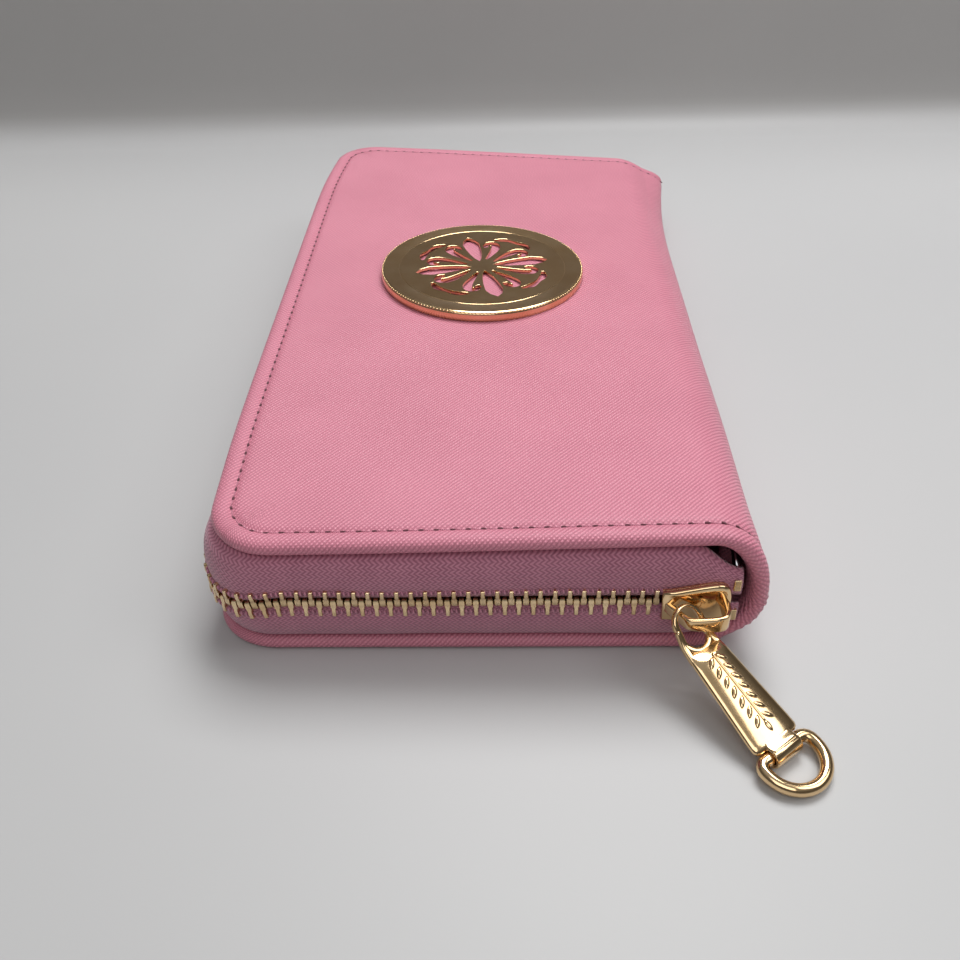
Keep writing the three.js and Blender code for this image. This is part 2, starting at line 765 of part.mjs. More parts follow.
add('pull_ring', pullRing(), polishedGold);
add('medallion', medallion(), polishedGold);
add('strap_ring', strapRing(), darkMetal);
add('strap_ring_tab', strapTab(), leather);
add('coin_panel_lower', coinPanelLower(), lining);
add('coin_panel_upper', coinPanelUpper(), lining);
add('coin_zip_tape_outer', coinTape(-1), tapeCloth);
add('coin_zip_tape_inner', coinTape(1), tapeCloth);
add('coin_zip_chain', coinChain(), toothMetal);
add('coin_zip_slider', placeCoinPart(slider()), polishedGold);
add('coin_zip_pull', coinPull(), polishedGold);

export default wallet;
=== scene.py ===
"""A long pink zip-around wallet, closed and lying flat on its lower cover.

Lengths are in millimetres in the CAD frame until a mesh is made. +Z is up, +X points to the spine,
-Y to the side where the zip starts.
"""

import bisect
import random
from math import asin, cos, degrees, dist, exp, hypot, pi, radians, sin, sqrt

import bmesh
import bpy
import numpy as np
from mathutils import Matrix, Vector


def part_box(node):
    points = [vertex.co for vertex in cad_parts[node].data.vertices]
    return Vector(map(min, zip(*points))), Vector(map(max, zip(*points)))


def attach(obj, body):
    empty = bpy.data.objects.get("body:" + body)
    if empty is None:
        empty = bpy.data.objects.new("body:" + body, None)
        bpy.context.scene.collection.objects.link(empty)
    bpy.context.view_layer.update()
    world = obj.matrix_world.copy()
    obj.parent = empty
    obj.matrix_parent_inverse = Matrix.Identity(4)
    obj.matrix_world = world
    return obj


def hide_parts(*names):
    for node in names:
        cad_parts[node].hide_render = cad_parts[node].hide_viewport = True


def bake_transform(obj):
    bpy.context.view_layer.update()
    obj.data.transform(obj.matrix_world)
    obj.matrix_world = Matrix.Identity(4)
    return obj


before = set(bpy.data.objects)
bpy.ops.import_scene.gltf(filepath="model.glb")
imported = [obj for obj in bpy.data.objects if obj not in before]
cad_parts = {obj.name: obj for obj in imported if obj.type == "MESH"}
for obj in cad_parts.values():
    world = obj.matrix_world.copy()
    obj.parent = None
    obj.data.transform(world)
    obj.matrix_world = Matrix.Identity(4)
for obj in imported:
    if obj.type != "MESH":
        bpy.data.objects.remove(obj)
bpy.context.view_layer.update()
scene = bpy.context.scene
MM = 0.001

# ---- the wallet's dimensions ----

HALF_W, HALF_L, HEIGHT = 52.5, 100.0, 27.0
FOLD_Z = 14.0
CORNER_R = 13.0
SPINE_R = 11.0
SPINE_X = HALF_W - SPINE_R
COVER = 3.1
INNER_TOP = HEIGHT - COVER
SLUMP_FRONT, SLUMP_BACK = (0.0, 2.8), (2.0, -5.5)
SLIDER_AT = Vector((39.2, -HALF_L, FOLD_Z))
MEDAL_X, MEDAL_Y = -1.7, 6.6
BULGE, BULGE_R = 1.1, 20.8  # how far the cover rises inside the medallion's window


def lerp(a, b, t):
    return a + (b - a) * t


def clamp(v, low=0.0, high=1.0):
    return max(low, min(high, v))


def smooth(v):
    v = clamp(v)
    return v * v * (3 - 2 * v)


def bell(v, width):
    return exp(-(v / width) ** 2)


def slump(x, y, z):
    """How much the wallet's upper half is raised or sunk at a point of the level wallet."""
    u = clamp(x / (2 * HALF_W) + 0.5)
    v = clamp(y / (2 * HALF_L) + 0.5)
    share = clamp((z - FOLD_Z) / (INNER_TOP - FOLD_Z))
    return lerp(lerp(*SLUMP_FRONT, u), lerp(*SLUMP_BACK, u), v) * share


def settled(x, y, z):
    return Vector((x, y, z + slump(x, y, z)))


def evenly(low, high, steps):
    """The values from one to the other in equal steps, ends included."""
    return [lerp(low, high, k / steps) for k in range(steps + 1)]


# ---- meshes ----


def add(name, data):
    obj = bpy.data.objects.new(name, data)
    scene.collection.objects.link(obj)
    return obj


def mesh(name, points, faces, finish, flat=None):
    """An object from points in millimetres. flat holds two lengths for each point, for a weave or grain to follow."""
    data = bpy.data.meshes.new(name)
    data.from_pydata([tuple(MM * c for c in p) for p in points], [], faces)
    if flat is not None:
        layer = data.attributes.new("flat", "FLOAT_VECTOR", "POINT")
        layer.data.foreach_set("vector", np.array([(u, v, 0) for u, v in flat], np.float32).ravel())
    data.materials.append(finish)
    data.update()
    data.shade_smooth()
    return add(name, data)


def grid_faces(rows, columns, closed_rows=False, closed_columns=False, start=0):
    faces = []
    for i in range(rows if closed_rows else rows - 1):
        for j in range(columns if closed_columns else columns - 1):
            a, b = i * columns, ((i + 1) % rows) * columns
            k = (j + 1) % columns
            faces.append((start + a + j, start + a + k, start + b + k, start + b + j))
    return faces


class Build:
    """Collects several closed shapes into one mesh."""

    def __init__(self):
        self.points, self.faces, self.flat = [], [], []

    def loft(self, rings, closed=False, flat=None):
        start, count = len(self.points), len(rings[0])
        for ring in rings:
            self.points.extend(ring)
        self.flat.extend(flat or [(0, 0)] * (len(rings) * count))
        self.faces += grid_faces(len(rings), count, closed_rows=closed, closed_columns=True, start=start)
        if not closed:
            last = start + (len(rings) - 1) * count
            self.faces.append(tuple(range(start + count - 1, start - 1, -1)))
            self.faces.append(tuple(range(last, last + count)))
        return self

    def prism(self, outline, low, high, place=lambda x, y, z: (x, y, z)):
        return self.loft([[place(x, y, z) for x, y in outline] for z in (low, high)])

    def object(self, name, finish, bevel=0.0, segments=2):
        obj = mesh(name, self.points, self.faces, finish, flat=self.flat)
        facing_out(obj)
        if bevel:
            rounding = obj.modifiers.new("rounding", "BEVEL")
            rounding.width = bevel * MM
            rounding.segments = segments
            rounding.limit_method = "ANGLE"
            rounding.angle_limit = radians(35)
            rounding.harden_normals = True
        return obj


def facing_out(obj):
    """Turns every face of a mesh outwards."""
    work = bmesh.new()
    work.from_mesh(obj.data)
    bmesh.ops.recalc_face_normals(work, faces=work.faces)
    work.to_mesh(obj.data)
    work.free()
    return obj


def circle(radius, sides, squeeze=1.0):
    return [(radius * cos(2 * pi * k / sides), squeeze * radius * sin(2 * pi * k / sides))
            for k in range(sides)]


def sweep(build, path, section, up):
    """A section of (side, up) points carried along a path of points."""
    rings = []
    for i, point in enumerate(path):
        along = (path[min(i + 1, len(path) - 1)] - path[max(i - 1, 0)]).normalized()
        side = along.cross(up).normalized()
        top = side.cross(along)
        rings.append([point + side * a + top * b for a, b in section])
    return build.loft(rings)


def sideways(line, closed=False):
    """For each point of a flat line, the unit direction square to it, on its right."""
    out, count = [], len(line)
    for i in range(count):
        a = line[i - 1 if closed else max(i - 1, 0)]
        b = line[(i + 1) % count if closed else min(i + 1, count - 1)]
        size = hypot(b[0] - a[0], b[1] - a[1]) or 1.0
        out.append(((b[1] - a[1]) / size, (a[0] - b[0]) / size))
    return out


def spaced(points, pitch):
    """Even distances along a path, each with the index of the point after it, and every point's distance."""
    total, marks = 0.0, [0.0]
    for a, b in zip(points, points[1:]):
        total += (b - a).length
        marks.append(total)
    count = int(total / pitch)
    distances = [(k + 0.5) * total / count for k in range(count)]
    return [(at, bisect.bisect_left(marks, at)) for at in distances], marks


def arc(cx, cy, radius, start, end, steps):
    return [(cx + radius * cos(radians(a)), cy + radius * sin(radians(a))) for a in evenly(start, end, steps)]


def place_on(obj, body, slot, *nodes):
    """Rides a piece on one body, in place of the CAD nodes named."""
    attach(obj, body)
    if nodes:
        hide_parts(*nodes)
    return obj


def across_fold(obj, slot, *nodes):
    """Bakes a piece's placement into its mesh and hides the CAD nodes named."""
    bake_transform(obj)
    if nodes:
        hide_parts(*nodes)
    return obj


# ---- materials ----


class Nodes:
    """A node tree, built up by short calls."""

    def __init__(self, tree):
        self.tree = tree

    def node(self, kind, inputs=(), out=0, **settings):
        made = self.tree.nodes.new(kind)
        for key, value in settings.items():
            setattr(made, key, value)
        for key, value in dict(inputs).items():
            self.feed(made.inputs[key], value)
        return made.outputs[out]

    def feed(self, socket, value):
        """Links a node's output to a socket, or sets the socket to a number or a colour."""
        if isinstance(value, bpy.types.NodeSocket):
            self.tree.links.new(value, socket)
        else:
            socket.default_value = (*value, 1) if isinstance(value, tuple) else value

    def split(self, vector):
        parts = self.tree.nodes.new("ShaderNodeSeparateXYZ")
        self.feed(parts.inputs[0], vector)
        return list(parts.outputs)

    def ramp(self, value, *stops):
        """stops are (position, grey or colour)."""
        made = self.tree.nodes.new("ShaderNodeValToRGB")
        self.feed(made.inputs[0], value)
        elements = made.color_ramp.elements
        while len(elements) < len(stops):
            elements.new(0.5)
        for element, (position, color) in zip(elements, stops):
            element.position = position
            element.color = (*color, 1) if isinstance(color, tuple) else (color, color, color, 1)
        return made.outputs[0]


class Finish(Nodes):
    """A Principled material."""

    def __init__(self, name, color, roughness, metallic=0.0, **sockets):
        self.material = bpy.data.materials.new(name)
        self.material.use_nodes = True
        super().__init__(self.material.node_tree)
        self.shader = self.tree.nodes["Principled BSDF"]
        for socket, value in {"Base_Color": color, "Roughness": roughness, "Metallic": metallic, **sockets}.items():
            self.feed(self.shader.inputs[socket.replace("_", " ")], value)

    def math(self, operation, a, b=0.0, c=0.0):
        return self.node("ShaderNodeMath", {0: a, 1: b, 2: c}, operation=operation)

    def flat(self):
        """The two lengths in millimetres that a woven or grained piece carries."""
        vector = self.node("ShaderNodeAttribute", attribute_name="flat", out=1)
        return (vector, *self.split(vector)[:2])

    def place(self):
        return self.node("ShaderNodeTexCoord", out=3)

    def noise(self, scale, detail=2.0, where=None):
        where = self.place() if where is None else where
        return self.node("ShaderNodeTexNoise", {"Vector": where, "Scale": scale, "Detail": detail})

    def mix(self, factor, a, b):
        made = self.tree.nodes.new("ShaderNodeMix")
        made.data_type = "RGBA"
        for key, value in (("Factor", factor), ("A", a), ("B", b)):
            self.feed(next(s for s in made.inputs if s.name == key and s.enabled), value)
        return next(o for o in made.outputs if o.enabled)

    def color(self, value):
        self.feed(self.shader.inputs["Base Color"], value)

    def roughness(self, value):
        self.feed(self.shader.inputs["Roughness"], value)

    def bump(self, height, depth, strength=1.0):
        """depth in millimetres for a height from 0 to 1."""
        normal = self.node("ShaderNodeBump", {"Strength": strength, "Distance": depth * MM, "Height": height})
        self.feed(self.shader.inputs["Normal"], normal)

    def range(self, value, low, high):
        return self.node("ShaderNodeMapRange", {0: value, 1: 0.0, 2: 1.0, 3: low, 4: high})


def ridges(f, value, pitch):
    """0 to 1 ridges with that pitch, in the units of the value."""
    return f.math("MULTIPLY_ADD", f.math("SINE", f.math("MULTIPLY", value, 2 * pi / pitch)), 0.5, 0.5)


def cross_grain(name, base, deep, roughness):
    """Cross-hatched grained leather with a thin coat."""
    f = Finish(name, base, roughness, Coat_Weight=0.12, Coat_Roughness=0.35, Specular_IOR_Level=0.4)
    vector, u, v = f.flat()
    across = f.math("MULTIPLY", v, 0.92)
    wobble = f.math("MULTIPLY", f.noise(0.5, 2.0, vector), 0.5)
    first, second = (ridges(f, f.math("ADD", f.math(way, u, across), wobble), 0.9792) for way in ("ADD", "SUBTRACT"))
    hatch = f.math("MULTIPLY", f.math("POWER", first, 0.7), f.math("MULTIPLY_ADD", second, 0.55, 0.45))
    f.bump(f.math("MULTIPLY_ADD", f.noise(4.0, 3.0, vector), 0.3, hatch), 0.14)
    broad = f.noise(0.045, 3.0, vector)
    tone = f.math("MULTIPLY_ADD", f.math("SUBTRACT", broad, 0.5), 0.35, f.math("MULTIPLY_ADD", hatch, 0.8, 0.25))
    f.color(f.ramp(tone, (0.1, deep), (0.85, base)))
    f.roughness(f.range(hatch, roughness + 0.1, roughness - 0.05))
    return f.material


def woven(name, base, deep):
    """A herringbone tape: long slanted threads that turn about at every column."""
    f = Finish(name, base, 0.75, Sheen_Weight=0.35, Sheen_Roughness=0.5, Specular_IOR_Level=0.25)
    vector, s, t = f.flat()
    column = 0.55
    zigzag = f.math("PINGPONG", t, column)
    wobble = f.math("MULTIPLY", f.noise(1.2, 1.0, vector), 0.2)
    slant = f.math("ADD", f.math("MULTIPLY_ADD", s, 0.6, zigzag), wobble)
    threads = ridges(f, slant, 0.62)
    rows = ridges(f, t, column)
    height = f.math("MULTIPLY", threads, f.math("MULTIPLY_ADD", rows, 0.35, 0.65))
    f.bump(f.math("MULTIPLY_ADD", f.noise(9.0, 2.0, vector), 0.25, height), 0.09)
    tone = f.math("MULTIPLY_ADD", f.noise(0.25, 2.0, vector), 0.3, f.math("MULTIPLY", height, 0.8))
    f.color(f.ramp(tone, (0.12, deep), (0.8, base)))
    return f.material


def metal(name, base, warm, roughness, wear=0.08, scale=700.0):
    """Plated metal with a slight change of tone, faint wear and fine polishing marks."""
    f = Finish(name, base, roughness, 1.0)
    patches = f.noise(160.0, 4.0)
    f.color(f.ramp(patches, (0.35, warm), (0.65, base)))
    marks = f.noise(scale, 3.0)
    f.roughness(f.range(f.math("MULTIPLY", marks, patches), roughness - wear * 0.4, roughness + wear))
    f.bump(f.noise(260.0, 2.0), 0.02, 0.6)
    return f.material


def cloth(name, base, deep):
    """Plain-woven lining."""
    f = Finish(name, base, 0.85, Sheen_Weight=0.25, Specular_IOR_Level=0.2)
    vector, u, v = f.flat()
    warp, weft = (ridges(f, f.math(way, u, v), 0.5) for way in ("ADD", "SUBTRACT"))
    height = f.math("MAXIMUM", f.math("MULTIPLY", warp, 0.9), weft)
    f.bump(height, 0.05)
    tone = f.math("MULTIPLY_ADD", f.noise(0.2, 3.0, vector), 0.5, f.math("MULTIPLY", height, 0.5))
    f.color(f.ramp(tone, (0.2, deep), (0.8, base)))
    return f.material


def soft_leather(name, base, deep):
    """Smooth pebbled leatherette."""
    f = Finish(name, base, 0.5, Coat_Weight=0.08, Coat_Roughness=0.4)
    vector = f.flat()[0]
    cells = f.node("ShaderNodeTexVoronoi", {"Vector": vector, "Scale": 1.5}, feature="DISTANCE_TO_EDGE")
    pebble = f.ramp(cells, (0.0, 0.0), (0.25, 1.0))
    f.bump(f.math("MULTIPLY_ADD", f.noise(3.0, 2.0, vector), 0.3, pebble), 0.05)
    tone = f.math("MULTIPLY_ADD", f.noise(0.12, 3.0, vector), 0.6, f.math("MULTIPLY", pebble, 0.4))
    f.color(f.ramp(tone, (0.2, deep), (0.8, base)))
    return f.material


def fibre_board(name):
    """Grey-brown board, as stiffens the covers."""
    f = Finish(name, (0.48, 0.41, 0.32), 0.9)
    f.color(f.ramp(f.noise(300.0, 6.0), (0.3, (0.36, 0.3, 0.23)), (0.7, (0.52, 0.45, 0.36))))
    f.bump(f.noise(1200.0, 3.0), 0.05)
    return f.material


def thread(name, base, deep):
    """Twisted thread; the needle holes' painted shade is made with it too."""
    f = Finish(name, base, 0.6, Sheen_Weight=0.2)
    u, v = f.flat()[1:]
    ply = ridges(f, f.math("ADD", u, f.math("MULTIPLY", v, 0.6)), 0.35)
    f.bump(ply, 0.05)
    f.color(f.ramp(ply, (0.1, deep), (0.9, base)))
    return f.material


SAFFIANO = cross_grain("saffiano_pink", (0.76, 0.283, 0.375), (0.47, 0.14, 0.2), 0.38)
TAPE = woven("zip_tape_mauve", (0.62, 0.26, 0.35), (0.34, 0.115, 0.175))
TOOTH = metal("tooth_brass", (0.88, 0.68, 0.42), (0.7, 0.5, 0.28), 0.25, wear=0.12, scale=1500.0)
GOLD = metal("polished_gold", (0.87, 0.635, 0.37), (0.8, 0.55, 0.29), 0.12)
CHROME = metal("dark_metal", (0.5, 0.5, 0.52), (0.36, 0.36, 0.38), 0.16)
LINING = cloth("lining_twill", (0.56, 0.26, 0.33), (0.4, 0.17, 0.23))
POCKET = soft_leather("pocket_leather", (0.66, 0.3, 0.37), (0.52, 0.21, 0.28))
BOARD = fibre_board("fibre_board")
THREAD = thread("stitch_thread", (0.62, 0.23, 0.31), (0.4, 0.12, 0.18))
# The needle holes are dark blobs of painted shade: their darkness is the shade inside the holes.
NEEDLE_HOLE_SHADE = thread("needle_hole_shade", (0.16, 0.022, 0.045), (0.07, 0.01, 0.02))
LINING_THREAD = thread("lining_thread", (0.5, 0.2, 0.27), (0.33, 0.11, 0.16))

for side in ("lower", "upper"):
    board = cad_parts[f"cover_board_{side}"]
    board.data.materials.clear()
    board.data.materials.append(BOARD)

# ---- the outer skin ----

# The section across an edge: (inset from the edge, depth below the outer face), from the turned-in margin,
# round the rolled edge, over the stitch groove, to the flat.
EDGE = [
    (4.2, 3.3), (3.4, 3.34), (2.6, 3.32), (1.8, 3.22), (1.15, 3.05), (0.62, 2.78), (0.26, 2.42), (0.06, 2.02),
    (0.0, 1.62), (0.05, 1.25), (0.2, 0.9), (0.46, 0.58), (0.84, 0.32), (1.3, 0.14), (1.85, 0.03), (2.45, 0.0),
    (3.0, 0.06), (3.45, 0.18), (3.8, 0.36), (4.1, 0.5), (4.4, 0.42), (4.75, 0.24), (5.2, 0.1), (5.9, 0.03),
    (7.0, 0.0), (9.0, 0.0), (11.0, 0.0), (13.0, 0.0),
]
TURN = EDGE.index((0.0, 1.62))
STITCH_AT = (4.1, 0.5)


def running_length(points, zero):
    total, out = 0.0, [0.0]
    for (a, b), (c, d) in zip(points, points[1:]):
        total += hypot(c - a, d - b)
        out.append(total)
    return [v - out[zero] for v in out]


EDGE_AT = running_length(EDGE, TURN)  # distance along the section, 0 at the edge itself
EDGE_END = EDGE_AT[-1]


def edge_section(e):
    """(inset, depth) at a distance along the section."""
    if e >= EDGE_END:
        return EDGE[-1][0] + e - EDGE_END, 0.0
    k = int(clamp(bisect.bisect_right(EDGE_AT, e) - 1, 0, len(EDGE) - 2))
    t = clamp((e - EDGE_AT[k]) / (EDGE_AT[k + 1] - EDGE_AT[k]))
    return lerp(EDGE[k][0], EDGE[k + 1][0], t), lerp(EDGE[k][1], EDGE[k + 1][1], t)


# Along the section of the whole skin: the lower cover, the spine, the upper cover.
FLAT = SPINE_X + HALF_W
SHIFT = EDGE_END - EDGE[-1][0]  # how much longer the section is than the inset it covers


def ellipse_steps(height):
    """The running length round a quarter of the spine."""
    return running_length([(SPINE_R * sin(a), height * (1 - cos(a))) for a in evenly(0, pi / 2, 60)], 0)


LOWER_H, UPPER_H = FOLD_Z, HEIGHT - FOLD_Z
LOWER_ARC, UPPER_ARC = ellipse_steps(LOWER_H), ellipse_steps(UPPER_H)
U_FOLD = FLAT + SHIFT + LOWER_ARC[-1]
U_END = U_FOLD + UPPER_ARC[-1] + FLAT + SHIFT
V_END = HALF_L + SHIFT


def arc_angle(lengths, at):
    k = int(clamp(bisect.bisect_right(lengths, at) - 1, 0, len(lengths) - 2))
    t = clamp((at - lengths[k]) / (lengths[k + 1] - lengths[k]))
    return (k + t) / (len(lengths) - 1) * pi / 2


def flare(y, sine, upper=True):
    """The spine's ends open outwards, most of all above the fold at the back; below it the front end closes in."""
    from_end = HALF_L - abs(y)
    if y > 0:
        most = 4.9 if upper else 2.7 + 2.2 * smooth((sine - 0.6) / 0.4)
        return most * exp(-(from_end / 26.0) ** 1.4) * sine ** 2
    low = 0.0 if upper else 2.2 * smooth((0.94 - sine) / 0.35)
    return 0.7 * exp(-from_end / 9.0) * sine ** 2 - low * exp(-from_end / 12.0)


def corner_pull(x, y, upper):
    """The covers' left corners are not quite in line: the upper ones are drawn in, the lower front one out."""
    front = bell(hypot(x + HALF_W, y + HALF_L), 26.0)
    back = bell(hypot(x + HALF_W, y - HALF_L), 24.0)
    if upper:
        return 1.3 * front + 2.6 * back, 0.5 * front - 0.8 * back
    return -1.3 * front + 0.6 * back, 0.0


def skin_point(u, v, lift=0.0):
    """A point of the outer skin. u runs over the section from the lower cover's edge to the upper one's,
    v along the wallet from its middle; beyond 0 or V_END they go round the rolled edge."""
    upper = u > U_FOLD
    along = U_END - u if upper else u
    end = V_END - abs(v)
    inset_i, depth_i = edge_section(along)
    inset_j, depth_j = edge_section(end)
    height = UPPER_H if upper else LOWER_H
    y_sign = 1 if v >= 0 else -1
    if along < FLAT + SHIFT:
        x, y = -HALF_W + inset_i, y_sign * (HALF_L - inset_j)
        ai, aj = EDGE_END - along, EDGE_END - end
        depth = depth_i if ai > 0 else depth_j
        if ai > 0 and aj > 0:
            inset, depth = edge_section(EDGE_END - max(ai, aj))
            far = hypot(ai, aj)
            x = -HALF_W + CORNER_R - (CORNER_R - inset) * ai / far
            y = y_sign * (HALF_L - CORNER_R + (CORNER_R - inset) * aj / far)
        depth -= lift
        level = HEIGHT - depth if upper else depth
        shift_x, shift_y = corner_pull(x, y, upper)
        return Vector((x + shift_x, y + shift_y, level))
    lengths = UPPER_ARC if upper else LOWER_ARC
    angle = arc_angle(lengths, along - FLAT - SHIFT)
    sine, cosine = sin(angle), cos(angle)
    size = hypot(height * sine, SPINE_R * cosine)
    nx, nd = -height * sine / size, SPINE_R * cosine / size
    y = y_sign * (HALF_L - inset_j)
    depth = depth_j * lerp(1.0, 1.1, sine) - lift
    x = SPINE_X + SPINE_R * sine + nx * depth + flare(y, sine, upper)
    d = height * (1 - cosine) + nd * depth
    return Vector((x, y, HEIGHT - d if upper else d))


def wrinkle(p, u, v):
    """Short pleats at the spine's ends, fanning from the ends of the fold."""
    near = bell(HALF_L - abs(p.y), 11.0)
    over = bell(u - U_FOLD, 13.0)
    fan = (u - U_FOLD) / (0.55 + 0.02 * (HALF_L - abs(p.y)))
    low = 1.0 if u < U_FOLD else 0.55
    return 0.27 * near * over * low * sin(fan * 2.6 + 0.7 * sin(v * 0.4))


def undulation(x, y):
    """The covers are never quite level."""
    return 0.16 * sin(x * 0.062 + 0.8) * sin(y * 0.041 + 0.3) + 0.07 * sin(x * 0.13 + y * 0.09)


def skin_surface(u, v):
    p = skin_point(u, v)
    outward = (skin_point(u, v, lift=0.1) - p).normalized()
    inner = min(U_END - u, u, V_END - abs(v))
    if abs(u - U_FOLD) < UPPER_ARC[-1] + 4:
        p += outward * wrinkle(p, u, v)
    if u > U_FOLD and inner > STITCH_AT[0]:
        p += outward * undulation(p.x, p.y) * smooth((inner - STITCH_AT[0]) / 20) * smooth((U_END - u) / 40)
        p.z += BULGE * smooth((BULGE_R - hypot(p.x - MEDAL_X, p.y - MEDAL_Y)) / 4)
    return settled(*p)


def spread(low, high, count):
    """The values between the two, without the ends."""
    return evenly(low, high, count)[1:-1]


u_values = (EDGE_AT + spread(EDGE_END, FLAT + SHIFT, 22)
            + spread(FLAT + SHIFT - 0.001, U_FOLD, 26)
            + [U_FOLD]
            + spread(U_FOLD, U_END - FLAT - SHIFT + 0.001, 26)
            + spread(U_END - FLAT - SHIFT, U_END - EDGE_END, 22)
            + [U_END - e for e in reversed(EDGE_AT)])
v_values = ([-V_END + e for e in EDGE_AT] + spread(-V_END + EDGE_END, V_END - EDGE_END, 60)
            + [V_END - e for e in reversed(EDGE_AT)])
skin_points = [skin_surface(u, v) for u in u_values for v in v_values]
skin_flat = [(u, v) for u in u_values for v in v_values]
skin = mesh("outer_skin", skin_points, grid_faces(len(u_values), len(v_values)), SAFFIANO, flat=skin_flat)
facing_out(skin)
across_fold(skin, "saffiano_leather", "cover_skin_lower", "cover_skin_upper")


def skin_path():
    """The stitch line, all the way round, as (u, v) in small steps."""
    e = EDGE_AT[EDGE.index(STITCH_AT)]
    left, right, low, high = e, U_END - e, -V_END + e, V_END - e
    corners = [(left, low), (right, low), (right, high), (left, high), (left, low)]
    path = []
    for (a, b), (c, d) in zip(corners, corners[1:]):
        steps = int(hypot(c - a, d - b) / 0.2)
        path += [(lerp(a, c, k / steps), lerp(b, d, k / steps)) for k in range(steps)]
    return path


def ellipsoid(build, centre, along, across, up, sizes, around=8, rings=6):
    """A pill-shaped blob: sizes are half lengths along the three directions."""
    rows = []
    for i in range(rings + 1):
        turn = pi * (0.06 + 0.88 * i / rings)
        middle, fat = centre - along * cos(turn) * sizes[0], sin(turn) ** 0.6
        rows.append([middle + across * fat * sizes[1] * x + up * fat * sizes[2] * y for x, y in circle(1, around)])
    build.loft(rows, flat=[(i * 0.35, k * 0.2) for i in range(rings + 1) for k in range(around)])


def stitches(path, pitch, surface):
    """Thread, and dark blobs of painted shade for the needle holes, at an even pitch along a closed path of surface
    parameters.
    """
    length, radius, sink, hole = 0.34, 0.2, 0.06, (0.52, 0.3, 0.22)
    points = [surface(*at) for at in path]
    threads, holes = Build(), Build()
    for _, i in spaced(points, pitch)[0]:
        i = min(i, len(points) - 3)
        here, there = points[max(i - 2, 0)], points[min(i + 3, len(points) - 1)]
        along = (there - here).normalized()
        u, v = path[i]
        up = (settled(*skin_point(u, v, lift=0.3)) - settled(*skin_point(u, v))).normalized()
        across = along.cross(up).normalized()
        centre = points[i] + up * sink
        slant = (along + across * 0.1).normalized()
        ellipsoid(threads, centre, slant, across, up, (pitch * length, radius, radius * 0.8))
        # a dark blob of painted shade where the needle hole is
        ellipsoid(holes, centre + along * pitch * 0.5 - up * 0.02, along, across, up, hole)
    return threads, holes


threads, holes = stitches(skin_path(), 2.85, skin_surface)
across_fold(threads.object("cover_stitches", THREAD), "saffiano_leather")
# painted shade for the needle holes
across_fold(holes.object("cover_needle_hole_shade", NEEDLE_HOLE_SHADE), "saffiano_leather")

# ---- the inside of the spine ----


def spine_inside(inset):
    """(x, z, how far round to the fold) over the inside of the spine."""
    reach, start = SPINE_R - inset, 39.4
    tall_low, tall_high = (height - COVER + 1.13 - inset for height in (LOWER_H, UPPER_H))
    turns = evenly(0, pi / 2, 24)
    return ([(start, FOLD_Z - tall_low + 0.1, 0.0)]
            + [(SPINE_X + reach * sin(a), FOLD_Z - tall_low * cos(a), sin(a)) for a in turns]
            + [(SPINE_X + reach * cos(a), FOLD_Z + tall_high * sin(a), cos(a)) for a in turns[1:]]
            + [(start, FOLD_Z + tall_high - 0.1, 0.0)])


def spine_sheet(name, finish, inset, y_low, y_high, count):
    """A sheet against the inside of the spine, slightly creased."""
    rows, flat = [], []
    section = spine_inside(inset)
    for y in evenly(y_low, y_high, count):
        for k, (x, z, sine) in enumerate(section):
            crease = 0.12 * sin(y * 0.5 + k * 0.35) * sine
            rows.append(settled(x + flare(y, sine, k > len(section) / 2) + crease, y, z))
            flat.append((k * 0.9, y))
    return facing_out(mesh(name, rows, grid_faces(count + 1, len(section)), finish, flat=flat))


across_fold(spine_sheet("spine_lining", LINING, 1.25, -96.6, 96.6, 48), "lining_leather")
for end, y_low, y_high in (("front", -98.4, -86.5), ("back", 86.5, 98.4)):
    across_fold(spine_sheet(f"spine_margin_{end}", SAFFIANO, 1.55, y_low, y_high, 10), "saffiano_leather")

# ---- the zip ----

STRAIGHT = 2 * HALF_W - CORNER_R
BEND = CORNER_R * pi / 2
ZIP_SIDE = 2 * (HALF_L - CORNER_R)
ZIP_LENGTH = 2 * STRAIGHT + 2 * BEND + ZIP_SIDE
CHAIN_HALF = 3.1
CHAIN_START = HALF_W - 32.4
CHAIN_END = ZIP_LENGTH - (HALF_W - 44.0)
TAPE_START = HALF_W - 47.4


def zip_point(s):
    """The zip's route: (x, y, out x, out y) a distance along it from the front end of the spine."""
    beyond = s - STRAIGHT
    turn = (clamp(beyond / BEND) + clamp((beyond - BEND - ZIP_SIDE) / BEND)) * pi / 2
    ox, oy = -sin(turn), -cos(turn)
    x = -HALF_W + CORNER_R + CORNER_R * ox + max(-beyond, 0) + max(beyond - 2 * BEND - ZIP_SIDE, 0)
    y = -HALF_L + CORNER_R + CORNER_R * oy + clamp(beyond - BEND, 0, ZIP_SIDE)
    return x, y, ox, oy


def past_slider(s):
    """0 as far as the slider runs, 1 beyond."""
    return smooth((s - 88.0) / 14.0)


def chain_dip(s):
    """The chain hangs a little lower where it turns the front corner, and wanders slightly."""
    corner = bell(s - STRAIGHT - 8.0, 17.0) * past_slider(s)
    loose = smooth((s - 30.0) / 40.0) * smooth((ZIP_LENGTH - 30.0 - s) / 40.0)
    return -1.7 * corner + 0.18 * loose * sin(s * 0.07)


def chain_bulge(s):
    """The chain and its tapes stand out a little further where they turn the front corner."""
    return 1.1 * bell(s - STRAIGHT - 14.0, 15.0) * past_slider(s)


def on_zip(s, out, z, share=1.0):
    """A point beside the chain. share is how much of the chain's dip it follows."""
    x, y, ox, oy = zip_point(s)
    out += chain_bulge(s) * lerp(0.45, 1.0, share)
    return settled(x + ox * out, y + oy * out, z + chain_dip(s) * share)


def away(s):
    """The direction that the chain faces."""
    return Vector((*zip_point(s)[2:], 0))


